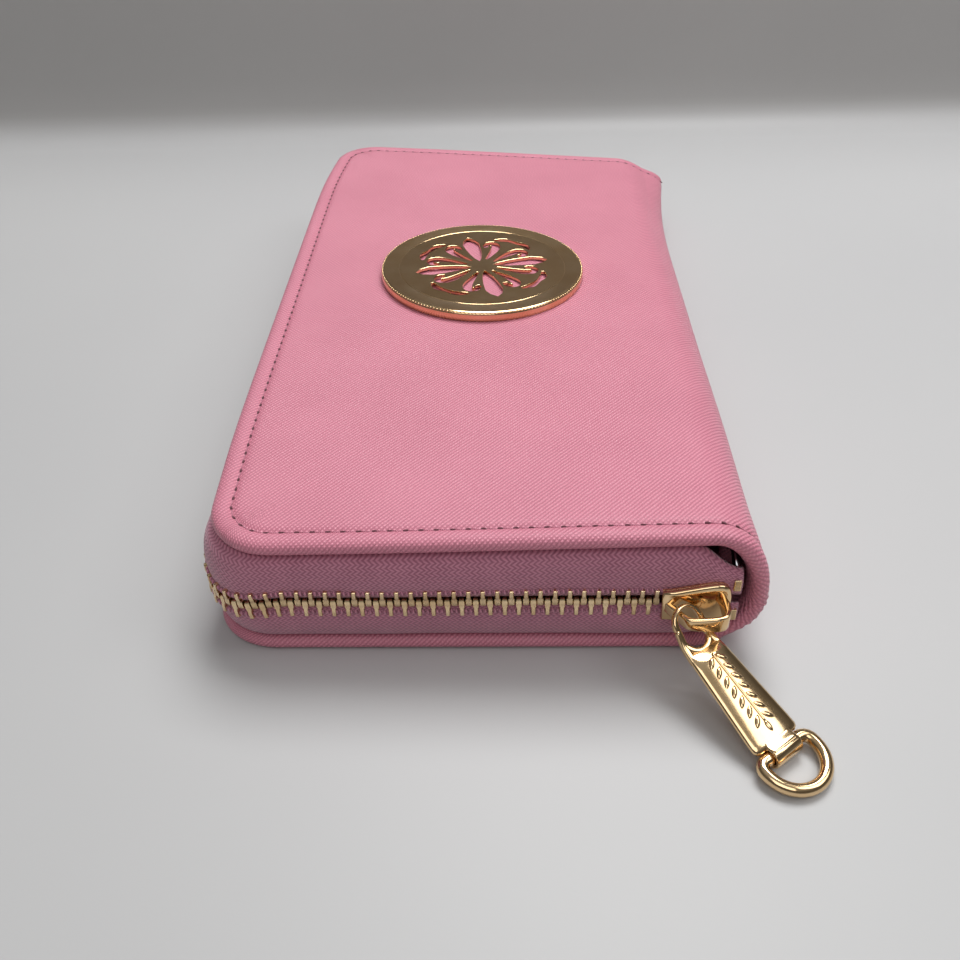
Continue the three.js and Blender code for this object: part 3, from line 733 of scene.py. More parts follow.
# From the chain to the cover: (share of the tape's width, how far out).
TAPE_LINE = [(0.0, 0.0), (0.12, 0.12), (0.24, 0.3), (0.36, 0.38), (0.5, 0.34), (0.63, 0.16), (0.76, -0.14),
             (0.86, -0.55), (0.94, -1.25), (1.0, -2.3)]


def tape_share(s):
    """How much of its width the tape keeps near its ends, where it narrows into the spine."""
    from_end = min(s, ZIP_LENGTH - s)
    return lerp(0.5, 1.0, smooth((from_end - 5.5) / 9.0))


def zip_tape(name, up, body, node):
    """One half's tape, from its beaded edge to under the cover."""
    cover = INNER_TOP - 0.3 if up > 0 else COVER + 0.3
    edge = FOLD_Z + up * 1.1
    width = abs(cover - edge)
    rings, flat = [], []
    for s in evenly(TAPE_START, ZIP_LENGTH - TAPE_START, 300):
        keep = tape_share(s)
        ripple = 0.22 * sin(s * 0.11 + up) + 0.1 * sin(s * 0.29)
        front, back, lengths = [], [], []
        for share, out in TAPE_LINE:
            z = edge + up * width * share * keep
            out = (out + ripple * sin(pi * share)) * (1.0 if keep > 0.95 else keep)
            follow = 1 - share
            front.append(on_zip(s, out + 0.3, z, follow))
            back.append(on_zip(s, out - 0.3, z, follow))
            lengths.append((s, share * width))
        rings.append(front + back[::-1])
        flat += lengths + lengths[::-1]
    return place_on(Build().loft(rings, flat=flat).object(name, TAPE), body, "zip_tape", node)


def tape_bead(name, up, body):
    """The corded edge with small thread loops that the teeth bite on."""
    build = Build()
    count = int((ZIP_LENGTH - 2 * TAPE_START) / 0.9)
    for i in range(count):
        s = lerp(TAPE_START + 0.5, ZIP_LENGTH - TAPE_START - 0.5, (i + 0.5) / count)
        a, b = on_zip(s - 0.1, 0, 0), on_zip(s + 0.1, 0, 0)
        along = (b - a).normalized()
        out = away(s)
        centre = on_zip(s, 0.55, FOLD_Z + up * 2.25)
        slant = (Vector((0, 0, 1)) * 0.8 + along * 0.6).normalized()
        side = slant.cross(out).normalized()
        ellipsoid(build, centre, slant, side, out, (0.62, 0.32, 0.42), around=6, rings=4)
    return place_on(build.object(name, TAPE), body, "zip_tape")


# One tooth upright on its tape: (distance from the centre line, half width along the chain, half thickness).
TOOTH_SECTIONS = [(3.06, 0.32, 1.0), (2.96, 0.38, 1.12), (1.75, 0.38, 1.14), (1.12, 0.39, 1.02), (0.96, 0.56, 0.96),
                  (0.3, 0.58, 1.0), (-0.45, 0.56, 0.96), (-0.82, 0.42, 0.74)]
TOOTH_PITCH = 2.66


def tooth(build, s, up):
    out, chamfer = away(s), 0.09
    along = (on_zip(s + 0.2, 0, FOLD_Z) - on_zip(s - 0.2, 0, FOLD_Z)).normalized()
    rise = out.cross(along) if out.cross(along).z > 0 else along.cross(out)
    centre = on_zip(s, 0, FOLD_Z)
    rings = []
    for level, wide, thick in TOOTH_SECTIONS:
        half = [(wide - chamfer, thick), (wide, thick - chamfer), (wide, -thick + chamfer), (wide - chamfer, -thick)]
        corners = half + [(-a, -b) for a, b in half]
        rings.append([centre + rise * up * level + along * a + out * b for a, b in corners])
    build.loft(rings)


def teeth_row(name, up, body, node):
    build = Build()
    count = int((CHAIN_END - CHAIN_START - 1.0) / TOOTH_PITCH)
    shift = 0.3 if up > 0 else 0.3 + TOOTH_PITCH / 2
    wobble = random.Random(5 if up > 0 else 6)
    for i in range(count):
        tooth(build, CHAIN_START + shift + i * TOOTH_PITCH + wobble.uniform(-0.05, 0.05), up)
    row = build.object(name, TOOTH)
    row.data.set_sharp_from_angle(angle=radians(28))
    return place_on(row, body, "zip_metal", node)


def top_stop(name, up, body, node):
    """A staple bent over the end of one tape's edge."""
    edge = FOLD_Z + up * (CHAIN_HALF + 0.1)
    low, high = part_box(node)
    x0, x1 = low.x / MM, high.x / MM
    outline = [(-1.1, -1.2), (1.1, -1.2), (1.1, 1.4), (0.65, 1.4),
               (0.65, -0.25), (-0.65, -0.25), (-0.65, 1.4), (-1.1, 1.4)][::up]
    lift = slump(x0, -HALF_L, edge)
    build = Build().prism(outline, x0, x1, place=lambda a, b, x: (x, -HALF_L + a, edge + up * b + lift))
    return place_on(build.object(name, TOOTH, bevel=0.25, segments=3), body, "zip_metal", node)


def bottom_stop():
    """The block at the chain's closed end, with a proud band across it."""
    low, high = (Vector(c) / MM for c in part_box("zip_bottom_stop"))
    build = Build()
    for grow in (Vector((0, 0, 0)), Vector((-0.5, 0.25, -0.6))):
        (x0, y0, z0), (x1, y1, z1) = low - grow, high + grow
        build.prism([(x0, y0), (x1, y0), (x1, y1), (x0, y1)], z0, z1)
    return place_on(build.object("bottom_stop", TOOTH, bevel=0.28, segments=3), "lower_half", "zip_metal",
                    "zip_bottom_stop")


for half, up in (("lower", -1), ("upper", 1)):
    zip_tape(f"woven_tape_{half}", up, f"{half}_half", f"zip_tape_{half}")
    tape_bead(f"tape_bead_{half}", up, f"{half}_half")
    teeth_row(f"teeth_{half}", up, f"{half}_half", f"zip_teeth_{half}")
    top_stop(f"top_stop_{half}", up, f"{half}_half", f"zip_top_stop_{half}")
bottom_stop()

# ---- sliders ----

# A plate's outline, from tail to nose: (distance along, half width). Then its faces' distances from the chain.
PLATE_EDGE = [(-6.2, 3.35), (-4.4, 3.5), (-2.0, 4.05), (1.0, 4.75), (3.2, 5.15), (4.5, 5.05), (5.4, 4.5), (5.95, 3.5),
              (6.2, 2.3)]
PLATE = PLATE_EDGE + [(x, -z) for x, z in reversed(PLATE_EDGE)]
PLATE_OUTER, PLATE_INNER, PLATE_SLIT, WALL = 2.3, 1.25, 0.75, 0.24


def smooth_line(points, steps):
    """A Catmull-Rom line through the points, of any number of values each."""
    out, last = [], len(points) - 1
    for i in range(last):
        p0, p1, p2, p3 = (np.array(points[int(clamp(i + k, 0, last))], float) for k in (-1, 0, 1, 2))
        for k in range(steps):
            t = k / steps
            out.append(0.5 * (2 * p1 + (p2 - p0) * t + (2 * p0 - 5 * p1 + 4 * p2 - p3) * t * t
                              + (3 * p1 - p0 - 3 * p2 + p3) * t ** 3))
    return out + [np.array(points[-1], float)]


def rounded_bar(half_a, half_b, corner=0.3, steps=3):
    """A rectangle's outline with round corners, as (a, b) points."""
    corner = min(corner, half_a * 0.98, half_b * 0.98)
    points = []
    for ca, cb, start in ((half_a - corner, half_b - corner, 0), (-half_a + corner, half_b - corner, 90),
                          (-half_a + corner, -half_b + corner, 180), (half_a - corner, -half_b + corner, 270)):
        points += arc(ca, cb, corner, start, start + 90, steps)
    return points


# Along the bridge: (x, y, half width, half thickness).
BRIDGE = [(-5.25, -1.9, 1.15, 0.62), (-4.6, -2.85, 1.15, 0.6), (-3.6, -4.15, 1.15, 0.58), (-2.6, -5.5, 1.2, 0.56),
          (-1.85, -6.25, 1.3, 0.54), (-0.8, -6.5, 1.4, 0.52), (1.2, -6.55, 1.55, 0.5), (3.2, -6.5, 1.7, 0.5),
          (4.5, -6.05, 1.8, 0.52), (5.15, -5.0, 1.8, 0.55), (5.3, -3.6, 1.75, 0.6),
          (5.25, -1.9, 1.7, 0.62)]


def slider_body(name, finish, place):
    """The plate behind the chain and the side walls, slit for the tapes."""
    def slab(outline, low, high):
        build.prism(outline, low, high, place=lambda x, z, y: place(Vector((x, y, z))))

    build = Build()
    slab(PLATE, PLATE_INNER - 0.05, PLATE_OUTER)
    for sign in (-1, 1):
        wall = [(x, sign * z) for x, z in PLATE_EDGE] + [(x, sign * (z - WALL)) for x, z in reversed(PLATE_EDGE)]
        slab(wall, -PLATE_INNER, -PLATE_SLIT)
        slab(wall, PLATE_SLIT, PLATE_INNER)
    return build.object(name, finish, bevel=0.2, segments=3)


# The outer plate's rounded edge: (how far out, inset from the outline).
PLATE_DOME = [(-1.2, 0.1), (-1.26, 0.0), (-1.72, 0.0), (-1.9, 0.05), (-2.04, 0.16), (-2.15, 0.34), (-2.23, 0.6),
              (-2.28, 0.95), (-PLATE_OUTER, 1.5)]


def slider_face(name, finish, place):
    """The plate that the bridge stands on, domed towards its edges."""
    rings = [[place(Vector((x * (1 - inset / 6.2), y, z * (1 - inset / 4.6)))) for x, z in PLATE]
             for y, inset in PLATE_DOME]
    return Build().loft(rings).object(name, finish)


def slider_bridge(name, finish, place):
    """The bar over the outer plate that the pull hangs from."""
    line, rings = smooth_line(BRIDGE, 5), []
    for (x, y, wide, thick), (ox, oy) in zip(line, sideways(line)):
        rings.append([place(Vector((x - ox * b, y - oy * b, a))) for a, b in rounded_bar(wide, thick, 0.4)])
    return Build().loft(rings).object(name, finish)


def on_slider(p):
    """A point in the slider's axes: x to its nose, -y outwards."""
    return SLIDER_AT + p


def whole_slider(prefix, place, body, node):
    """A slider's body, its face and its bridge."""
    for part, make in (("body", slider_body), ("face", slider_face), ("bridge", slider_bridge)):
        made = make(f"{prefix}_{part}", GOLD, place)
        place_on(made, body, "polished_gold", *([node] if part == "body" else []))


whole_slider("slider", on_slider, "slider", "zip_slider")

# ---- the pull and its ring ----

AZIMUTH, EYE_DIP, BODY_DIP = radians(-52.5), 47.0, 22.5
NECK, BAR_AT = 4.0, 27.2
PULL_AT = SLIDER_AT + Vector((-2.12, -5.34, 0))  # the eye's centre, under the bridge


def pull_axes(dip):
    """(along, across, out of the face) for a pull that dips by that many degrees."""
    down = radians(dip)
    along = Vector((cos(AZIMUTH) * cos(down), sin(AZIMUTH) * cos(down), -sin(down)))
    across = Vector((-sin(AZIMUTH), cos(AZIMUTH), 0))
    return along, across, along.cross(across)


BAR = PULL_AT + pull_axes(EYE_DIP)[0] * NECK + pull_axes(BODY_DIP)[0] * (BAR_AT - NECK)


def pull_point(t, s, n):
    """A point of the pull: t along it from the eye's centre, s across, n out of its face. It bends at the neck."""
    near, far = NECK - 1.5, NECK + 1.5
    axes = [pull_axes(EYE_DIP), pull_axes(BODY_DIP)]
    if t <= near:
        centre = PULL_AT + axes[0][0] * t
        dip = EYE_DIP
    elif t >= far:
        centre = BAR + axes[1][0] * (t - BAR_AT)
        dip = BODY_DIP
    else:
        w = (t - near) / (far - near)
        first = PULL_AT + axes[0][0] * near
        last = BAR + axes[1][0] * (far - BAR_AT)
        middle = PULL_AT + axes[0][0] * NECK
        centre = first * (1 - w) ** 2 + middle * 2 * w * (1 - w) + last * w * w
        dip = lerp(EYE_DIP, BODY_DIP, w)
    _, across, normal = pull_axes(dip)
    return centre + across * s + normal * n


def flat_bar(build, line, closed=False):
    """A bar with round edges along (t, s, half width) stations in the pull's face."""
    build.loft([[pull_point(t + ot * a, s + os * a, b) for a, b in rounded_bar(wide, 0.62, 0.42, 4)]
                for (t, s, wide), (ot, os) in zip(line, sideways(line, closed))], closed=closed)


def tab_eye():
    """A loop round the bridge's leg that closes in a U on the plate, with straps down its two sides."""
    build = Build()
    loop = arc(0.33, 0, 2.9, 90, 270, 18) + arc(3.1, 0, 2.9, -90, 90, 18)
    flat_bar(build, [(t, s, 0.6 - 0.23 * smooth(-t / 2.5)) for t, s in loop], closed=True)
    for sign in (-1, 1):
        flat_bar(build, [(t, sign * lerp(2.95, 3.35, smooth((t - 1) / 7)), lerp(0.56, 0.7, t / 8))
                         for t in evenly(0.8, 7.4, 11)])
    return build.object("pull_eye", GOLD)


# Along the tab: (distance from the eye's centre, half width).
TAB_WIDTHS = [(5.6, 3.8), (6.2, 4.0), (8.0, 4.22), (12.0, 4.5), (16.0, 4.78), (20.0, 5.08), (23.6, 5.34), (25.0, 5.38),
              (25.5, 5.14), (25.9, 4.65)]
TAB_CROWN, TONGUE_FROM = 0.75, 24.6


def tab_section(t, half, crown, thick, lift=0.0):
    """A closed section: a crowned face with round edges over a flatter back."""
    face = [half * cos(a) for a in evenly(pi * 0.02, pi * 0.98, 14)]
    points = []
    for s, side in [(s, 1) for s in face] + [(lerp(-half, half, (k + 0.5) / 9), -1) for k in range(9)]:
        edge = min(1.0, (half - abs(s)) / 0.45)
        n = side * (thick / 2) * sqrt(max(0.0, 1 - (1 - edge) ** 2))
        points.append(pull_point(t, s, lift + n + (crown * (1 - (s / half) ** 2) if side > 0 else 0)))
    return points


def tab_plate():
    """The tab's crowned plate, and the tongue over its end that holds the ring."""
    build = Build()
    stations = []
    for (t0, w0), (t1, w1) in zip(TAB_WIDTHS, TAB_WIDTHS[1:]):
        steps = max(1, int((t1 - t0) / 0.5))
        stations += [(lerp(t0, t1, k / steps), lerp(w0, w1, k / steps)) for k in range(steps)]
    stations.append(TAB_WIDTHS[-1])
    first, last = stations[0][0], stations[-1][0]
    rings = []
    for t, w in stations:
        ends = min(1.0, (t - first + 0.12) / 0.5, (last - t + 0.12) / 0.5)
        rings.append(tab_section(t, w, TAB_CROWN * smooth((t - first) / 3.0), 1.2 * sqrt(1 - (1 - ends) ** 2)))
    build.loft(rings)
    build.loft([tab_section(t, 3.2, 0.12, 0.8, lift=0.68 + 0.85 * smooth((t - TONGUE_FROM) / 2.5))
                for t in evenly(TONGUE_FROM, BAR_AT, 8)])
    return build.object("pull_plate", GOLD)


def tab_sleeve():
    """The tongue's end, rolled round the ring's bar."""
    middle, half_thick = 1.685, 0.365
    rings = [[pull_point(BAR_AT + (middle + b) * x, a, (middle + b) * y) for a, b in rounded_bar(3.2, half_thick)]
             for x, y in arc(0, 0, 1, 95, -215, 26)]
    return Build().loft(rings).object("pull_sleeve", GOLD)


def tab_ornament():
    """A raised sprig of paired leaves down the middle of the tab."""
    build = Build()

    def on_face(t, s, lift):
        half = lerp(4.22, 5.08, (t - 8.0) / 12.0)
        return pull_point(t, s, 0.6 + TAB_CROWN * (1 - (s / half) ** 2) + lift)

    def leaf(t, s, turn, length, wide):
        rows = []
        for a in evenly(-1, 1, 8):
            w = wide * (1 - a * a) ** 0.75 + 0.02
            ring = []
            for x, y in circle(1, 8):
                side, rise = w * x, 0.34 * (1 - a * a) ** 0.5 * y
                dt = a * length * cos(turn) - side * sin(turn)
                ds = a * length * sin(turn) + side * cos(turn)
                ring.append(on_face(t + dt, s + ds, rise - 0.02))
            rows.append(ring)
        build.loft(rows)

    for i in range(7):
        t = 9.0 + i * 2.05
        for sign in (-1, 1):
            leaf(t, sign * 1.3, sign * 0.75, 1.3, 0.52)
    leaf(22.8, 0.0, 0.0, 1.2, 0.55)
    stem = [on_face(t, 0.0, 0.0) for t in evenly(7.6, 22.0, 26)]
    sweep(build, stem, circle(0.24, 8), pull_axes(BODY_DIP)[2])
    return build.object("pull_sprig", GOLD)


for made in (tab_eye(), tab_plate(), tab_sleeve(), tab_ornament()):
    place_on(made, "pull", "polished_gold", *(["pull_tab"] if made.name == "pull_plate" else []))


def d_ring(name, finish, wire, half, reach, at, corner=1.7):
    """A D of round wire: its bar through at(0, 0), its bow out to reach."""
    line = [(0.0, s) for s in evenly(-half + corner, half - corner, 8)]
    line += arc(corner, half - corner, corner, 180, 90, 6)[1:]
    line += arc(reach - half, 0, half, 90, -90, 28)
    line += arc(corner, -half + corner, corner, 270, 180, 6)[:-1]
    rings = [[at(a + oa * side, b + ob * side, up) for side, up in circle(wire / 2, 16)]
             for (a, b), (oa, ob) in zip(line, sideways(line, closed=True))]
    return Build().loft(rings, closed=True).object(name, finish)


RING_WIRE, RING_HALF, RING_REACH = 2.4, 5.9, 8.1
ring_axes = pull_axes(degrees(asin((BAR.z - RING_WIRE / 2 - 0.02) / RING_REACH)))
pull_d = d_ring("pull_d_ring", GOLD, RING_WIRE, RING_HALF, RING_REACH,
                lambda a, b, up: BAR + ring_axes[0] * a + ring_axes[1] * b + ring_axes[2] * up)
place_on(pull_d, "pull_ring", "polished_gold", "pull_ring")

# ---- the wrist strap's ring and its tab ----

STRAP_BAR = Vector((47.2, -89.0, 15.0))
strap_d = d_ring("strap_d_ring", CHROME, 1.7, 4.6, 7.7,
                 lambda a, b, up: STRAP_BAR + Vector((up, -a, b)), corner=1.5)
place_on(strap_d, "strap_ring", "dark_metal", "strap_ring")


def strap_tab():
    """A leather strip folded round the bar, with its two ends sewn together."""
    side = [(0.47, 16.0), (0.47, 12.0), (0.47, 8.0), (0.47, 4.0), (0.6, 2.4)]
    line = side + arc(0, 0, 1.55, 50, -230, 14) + [(-x, y) for x, y in reversed(side)]
    section = rounded_bar(2.6, 0.34, 0.2, 2)
    rings = [[STRAP_BAR + Vector((x + ox * b, y + oy * b, a)) for a, b in section]
             for (x, y), (ox, oy) in zip(line, sideways(line))]
    flat = [(i * 0.8, a) for i in range(len(line)) for a, b in section]
    return Build().loft(rings, flat=flat).object("strap_tab", SAFFIANO)


place_on(strap_tab(), "lower_half", "saffiano_leather", "strap_ring_tab")
tab_sewing = Build()
for k in range(5):
    for sign in (-1, 1):
        centre = STRAP_BAR + Vector((sign * 0.86, 3.6 + 2.7 * k, 0))
        ellipsoid(tab_sewing, centre, Vector((0, 1, 0)), Vector((0, 0, 1)), Vector((sign, 0, 0)), (1.0, 0.24, 0.14))
place_on(tab_sewing.object("strap_tab_stitches", THREAD), "lower_half", "saffiano_leather")

# ---- the medallion ----

MEDAL_TOP, WINDOW_R = 2.0, 21.42


def medal_frame():
    """The medallion's turn and its centre, on the slumped cover."""
    lift = slump(MEDAL_X, MEDAL_Y, HEIGHT)
    step_x, step_y = ((slump(MEDAL_X + dx, MEDAL_Y + dy, HEIGHT) - slump(MEDAL_X - dx, MEDAL_Y - dy, HEIGHT)) / 2
                      for dx, dy in ((1, 0), (0, 1)))
    normal = Vector((-step_x, -step_y, 1)).normalized()
    turn = Vector((0, 0, 1)).rotation_difference(normal).to_matrix()
    return turn, Vector((MEDAL_X, MEDAL_Y, HEIGHT + lift + 0.4))


MEDAL_TURN, MEDAL_AT = medal_frame()


def on_medal(x, y, n):
    """A point in the medallion's axes, n out of its face."""
    return MEDAL_TURN @ Vector((x, y, n)) + MEDAL_AT


# (radius, height) over the rim: foot, wall, rounded edge, face, and the step that the pierced plate sits in.
RIM = [(25.7, -0.6), (26.1, -0.4), (26.25, 0.0), (26.25, 1.3), (26.16, 1.56), (25.96, 1.78), (25.66, 1.94), (25.3, 2.0),
       (24.95, 1.96), (24.7, 1.9), (21.72, 1.9), (21.6, 1.86), (21.52, 1.76), (21.52, 1.0), (21.52, 0.1), (21.8, -0.6)]


def medal_rim():
    rings = [[on_medal(r * x, r * y, n) for r, n in RIM] for x, y in circle(1, 144)]
    rim = Build().loft(rings, closed=True).object("medallion_rim", GOLD)
    rim.data.set_sharp_from_angle(angle=radians(50))
    return rim


def milling():
    """Fine beads round the rim's bright edge."""
    build = Build()
    for x, y in circle(1, 180):
        centre = on_medal(25.9 * x, 25.9 * y, 1.68)
        axes = [MEDAL_TURN @ Vector(axis) for axis in ((-y, x, 0), (x, y, 0), (0, 0, 1))]
        ellipsoid(build, centre, *axes, (0.38, 0.27, 0.27), around=6, rings=4)
    return build.object("medallion_milling", GOLD)


def stroke(points, widths):
    """The outline of a brush stroke: a line with a width at each point."""
    line = smooth_line([(*p, w) for p, w in zip(points, widths)], 5)
    left, right = [], []
    for (x, y, w), (ox, oy) in zip(line, sideways(line)):
        left.append((x - ox * w, y - oy * w))
        right.append((x + ox * w, y + oy * w))
    return left + right[::-1]


def turned(points, angle, flip=1):
    cosine, sine = cos(radians(angle)), sin(radians(angle))
    return [(x * cosine - flip * y * sine, x * sine + flip * y * cosine) for x, y in points]


def medal_openings():
    """Four leaves, four pairs of curled fronds between them, and four crescents near the rim."""
    half = [(2.5, 0.0), (4.4, 0.95), (7.0, 1.65), (10.4, 2.15), (13.8, 2.4), (16.2, 1.6), (17.9, 0.0)]
    leaf = half + [(x, -y) for x, y in half[-2:0:-1]]
    frond = stroke([(3.7, 1.15), (6.6, 1.6), (9.6, 2.2), (12.0, 3.15), (12.9, 4.6), (12.1, 5.75), (10.8, 5.65),
                    (10.0, 4.9)], [0.4, 0.85, 1.2, 1.35, 1.3, 1.05, 0.9, 0.65])
    crescent = stroke([(15.0, -5.6), (16.5, -3.1), (16.7, 0.0), (16.5, 3.1), (15.0, 5.6)], [0.45, 1.1, 0.8, 1.1, 0.45])
    openings = []
    for k in range(4):
        at = 90 * k + 59
        openings += [turned(leaf, at - 45), turned(frond, at), turned(frond, at, flip=-1), turned(crescent, at)]
    return openings


def medal_plate():
    """The pierced plate inside the rim, cut from one sheet with softened edges."""
    curve = bpy.data.curves.new("medallion_plate", "CURVE")
    curve.dimensions = "2D"
    curve.fill_mode = "BOTH"
    thick, round_off = 0.9, 0.16
    curve.extrude = (thick / 2 - round_off) * MM
    curve.bevel_depth = round_off * MM
    curve.bevel_resolution = 2
    for outline in [arc(0, 0, WINDOW_R, 0, 357.5, 143)] + medal_openings():
        spline = curve.splines.new("POLY")
        spline.points.add(len(outline) - 1)
        spline.points.foreach_set("co", np.array([(x * MM, y * MM, 0, 1) for x, y in outline], np.float32).ravel())
        spline.use_cyclic_u = True
    holder = add("medallion_plate_curve", curve)
    bpy.context.view_layer.update()
    data = bpy.data.meshes.new_from_object(holder.evaluated_get(bpy.context.evaluated_depsgraph_get()))
    bpy.data.objects.remove(holder)
    data.name = "medallion_plate"
    turn = MEDAL_TURN.to_4x4()
    turn.translation = on_medal(0, 0, MEDAL_TOP - 0.1 - thick / 2) * MM
    data.transform(turn)
    data.materials.clear()
    data.materials.append(GOLD)
    data.shade_smooth()
    data.set_sharp_from_angle(angle=radians(32))
    return add("medallion_plate", data)


for made in (medal_rim(), milling(), medal_plate()):
    place_on(made, "upper_half", "polished_gold", *(["medallion"] if made.name == "medallion_rim" else []))

# ---- linings, slip pockets and card slots ----


def stations(half, radius):
    """(y, how far the left edge is cut in) along a panel with two rounded corners on its left."""
    corner = [(half - radius + x, radius - y) for x, y in arc(0, 0, radius, 0, 90, 8)[:-1]] if radius else []
    middle = [(y, 0.0) for y in evenly(-half + radius, half - radius, 40)]
    return [(-y, cut) for y, cut in corner] + middle + corner[::-1]


def panel(name, finish, left, right, half, low, high, radius=0.0, columns=16, wave=0.0, hem=0.0):
    """A thin panel that follows the slump. hem thickens a band along its left edge, on the inner side."""
    rings = []
    inward = 1 if (low + high) / 2 < FOLD_Z else -1
    marks = [0.0, 0.012, 0.045, 0.055, 0.062] + [k / columns for k in range(2, columns + 1)]
    for y, cut in stations(half, radius):
        under, over = [], []
        for c in marks:
            x = lerp(left + cut, right, c)
            ripple = wave * sin(x * 0.13 + y * 0.051) * sin(y * 0.028 + 1.0)
            fold = hem * (1 - smooth((c - 0.05) / 0.012)) * (0.6 if c == 0.0 else 1.0)
            under.append(settled(x, y, low + ripple - (fold if inward < 0 else 0)))
            over.append(settled(x, y, high + ripple + (fold if inward > 0 else 0)))
        rings.append(under + over[::-1])
    flat = [(p.x, p.y) for ring in rings for p in ring]
    return Build().loft(rings, flat=flat).object(name, finish, bevel=0.12)


def sewn_line(name, body, line, pitch, up=Vector((0, 0, 1))):
    """A row of stitches along a path of points."""
    build = Build()
    radius = 0.2
    distances, marks = spaced(line, pitch)
    for at, i in distances:
        i = max(min(i, len(line) - 2) - 1, 0)
        along = (line[i + 1] - line[i]).normalized()
        centre = line[i] + along * (at - marks[i])
        sizes = (pitch * 0.36, radius, radius * 0.7)
        ellipsoid(build, centre, along, along.cross(up).normalized(), up, sizes, around=6, rings=4)
    return place_on(build.object(name, LINING_THREAD), body, "lining_leather")


def straight_line(x0, y0, x1, y1, z):
    """A line of points that follows the slump."""
    return [settled(x, y, z) for x, y in zip(evenly(x0, x1, 40), evenly(y0, y1, 40))]


CARD_LEFT, CARD_RIGHT, CARD_HALF, FIRST_EDGE, CARD_STEP = -46.0, 40.0, 90.0, -31.0, 12.0
LAYER, SHEET_THICK, HEM_THICK = 0.8, 0.5, 0.16  # from one layer to the next, and how thick each is


def level(half, depth):
    """The height of a layer that far in from the cover's outer face."""
    return depth if half == "lower" else HEIGHT - depth


def linings(half):
    """One half's lining, its slip pocket and its four card strips, sewn at the edges and between the columns."""
    body, facing = f"{half}_half", Vector((0, 0, 1 if half == "lower" else -1))

    def layer_at(depth, thick):
        return sorted((level(half, depth), level(half, depth + thick)))

    lined = panel(f"lining_{half}", LINING, -HALF_W + 2.8, 40.1, HALF_L - 2.8, *layer_at(COVER - 0.6, 0.6),
                  radius=CORNER_R - 2.8)
    place_on(lined, body, "lining_leather", f"cover_lining_{half}")
    for layer in range(5):
        depth = COVER + 0.3 + layer * LAYER
        left = FIRST_EDGE + (layer - 1) * CARD_STEP if layer else CARD_LEFT
        name, node = ((f"card_strip_{half}_{layer}", f"card_slot_{half}_{layer}") if layer
                      else (f"slip_panel_{half}", f"slip_pocket_{half}"))
        strip = panel(name, POCKET, left, CARD_RIGHT, CARD_HALF, *layer_at(depth, SHEET_THICK), wave=0.05,
                      hem=HEM_THICK)
        place_on(strip, body, "lining_leather", node)
        face = level(half, depth + SHEET_THICK + HEM_THICK + 0.02)
        edge = straight_line(left + 2.2, -87.0, left + 2.2, 87.0, face)
        sewn_line(f"{name}_stitches", body, edge, 3.2, up=facing)
    face = level(half, COVER + 0.3 + 4 * LAYER + SHEET_THICK + 0.04)
    for y in (-88.2, 0.0, 88.2):
        divider = straight_line(9.5, y, 38.5, y, face)
        sewn_line(f"divider_stitches_{half}_{int(y) + 100}", body, divider, 3.0, up=facing)


for half in ("lower", "upper"):
    linings(half)

# ---- gussets ----

GUSSET_FOLDS = [(92.6, 7.4), (91.4, 8.0), (88.8, 8.9), (88.4, 9.5), (90.6, 10.4), (92.4, 11.2), (92.9, 12.6),
                (92.9, 14.6), (92.4, 16.0), (90.6, 16.9), (88.4, 17.8), (88.8, 18.4), (91.4, 19.2), (92.6, 19.6)]
GUSSET_LEFT, GUSSET_RIGHT, GUSSET_THICK = -43.0, 40.0, 0.3


def gusset(name, end, node):
    """A bellows of cloth at one end, between the two slip pockets."""
    line = smooth_line(GUSSET_FOLDS, 3)
    rings, flat = [], []
    for x in evenly(GUSSET_LEFT, GUSSET_RIGHT, 40):
        pucker = 0.25 * sin(x * 0.35)
        inner, outer = ([settled(x, end * (y + thick + pucker * 0.3), z) for y, z in line]
                        for thick in (0, GUSSET_THICK))
        rings.append(inner + outer[::-1])
        lengths = [(x, k * 0.55) for k in range(len(line))]
        flat += lengths + lengths[::-1]
    folded = Build().loft(rings, flat=flat).object(name, LINING)
    cut_length = sum(dist(a, b) for a, b in zip(line, line[1:]))
    across_fold(folded, "lining_leather", node)


gusset("gusset_cloth_front", -1, "gusset_front")
gusset("gusset_cloth_back", 1, "gusset_back")

# ---- the coin pocket ----

COIN_LEFT, COIN_RIGHT, COIN_HALF, COIN_LOW, COIN_HIGH, COIN_WALL = -44.0, 42.0, 91.8, 11.8, 15.6, 0.7
COIN_ZIP_X, COIN_ZIP_HALF, COIN_OPEN, COIN_ZIP_Z, COIN_SCALE, COIN_SLIDER_Y = -36.0, 84.0, 5.0, 15.35, 0.6, 76.0
COIN_PULL_X, COIN_PULL_Y = -3.9, -3.75  # the pull's eye, in the slider's axes


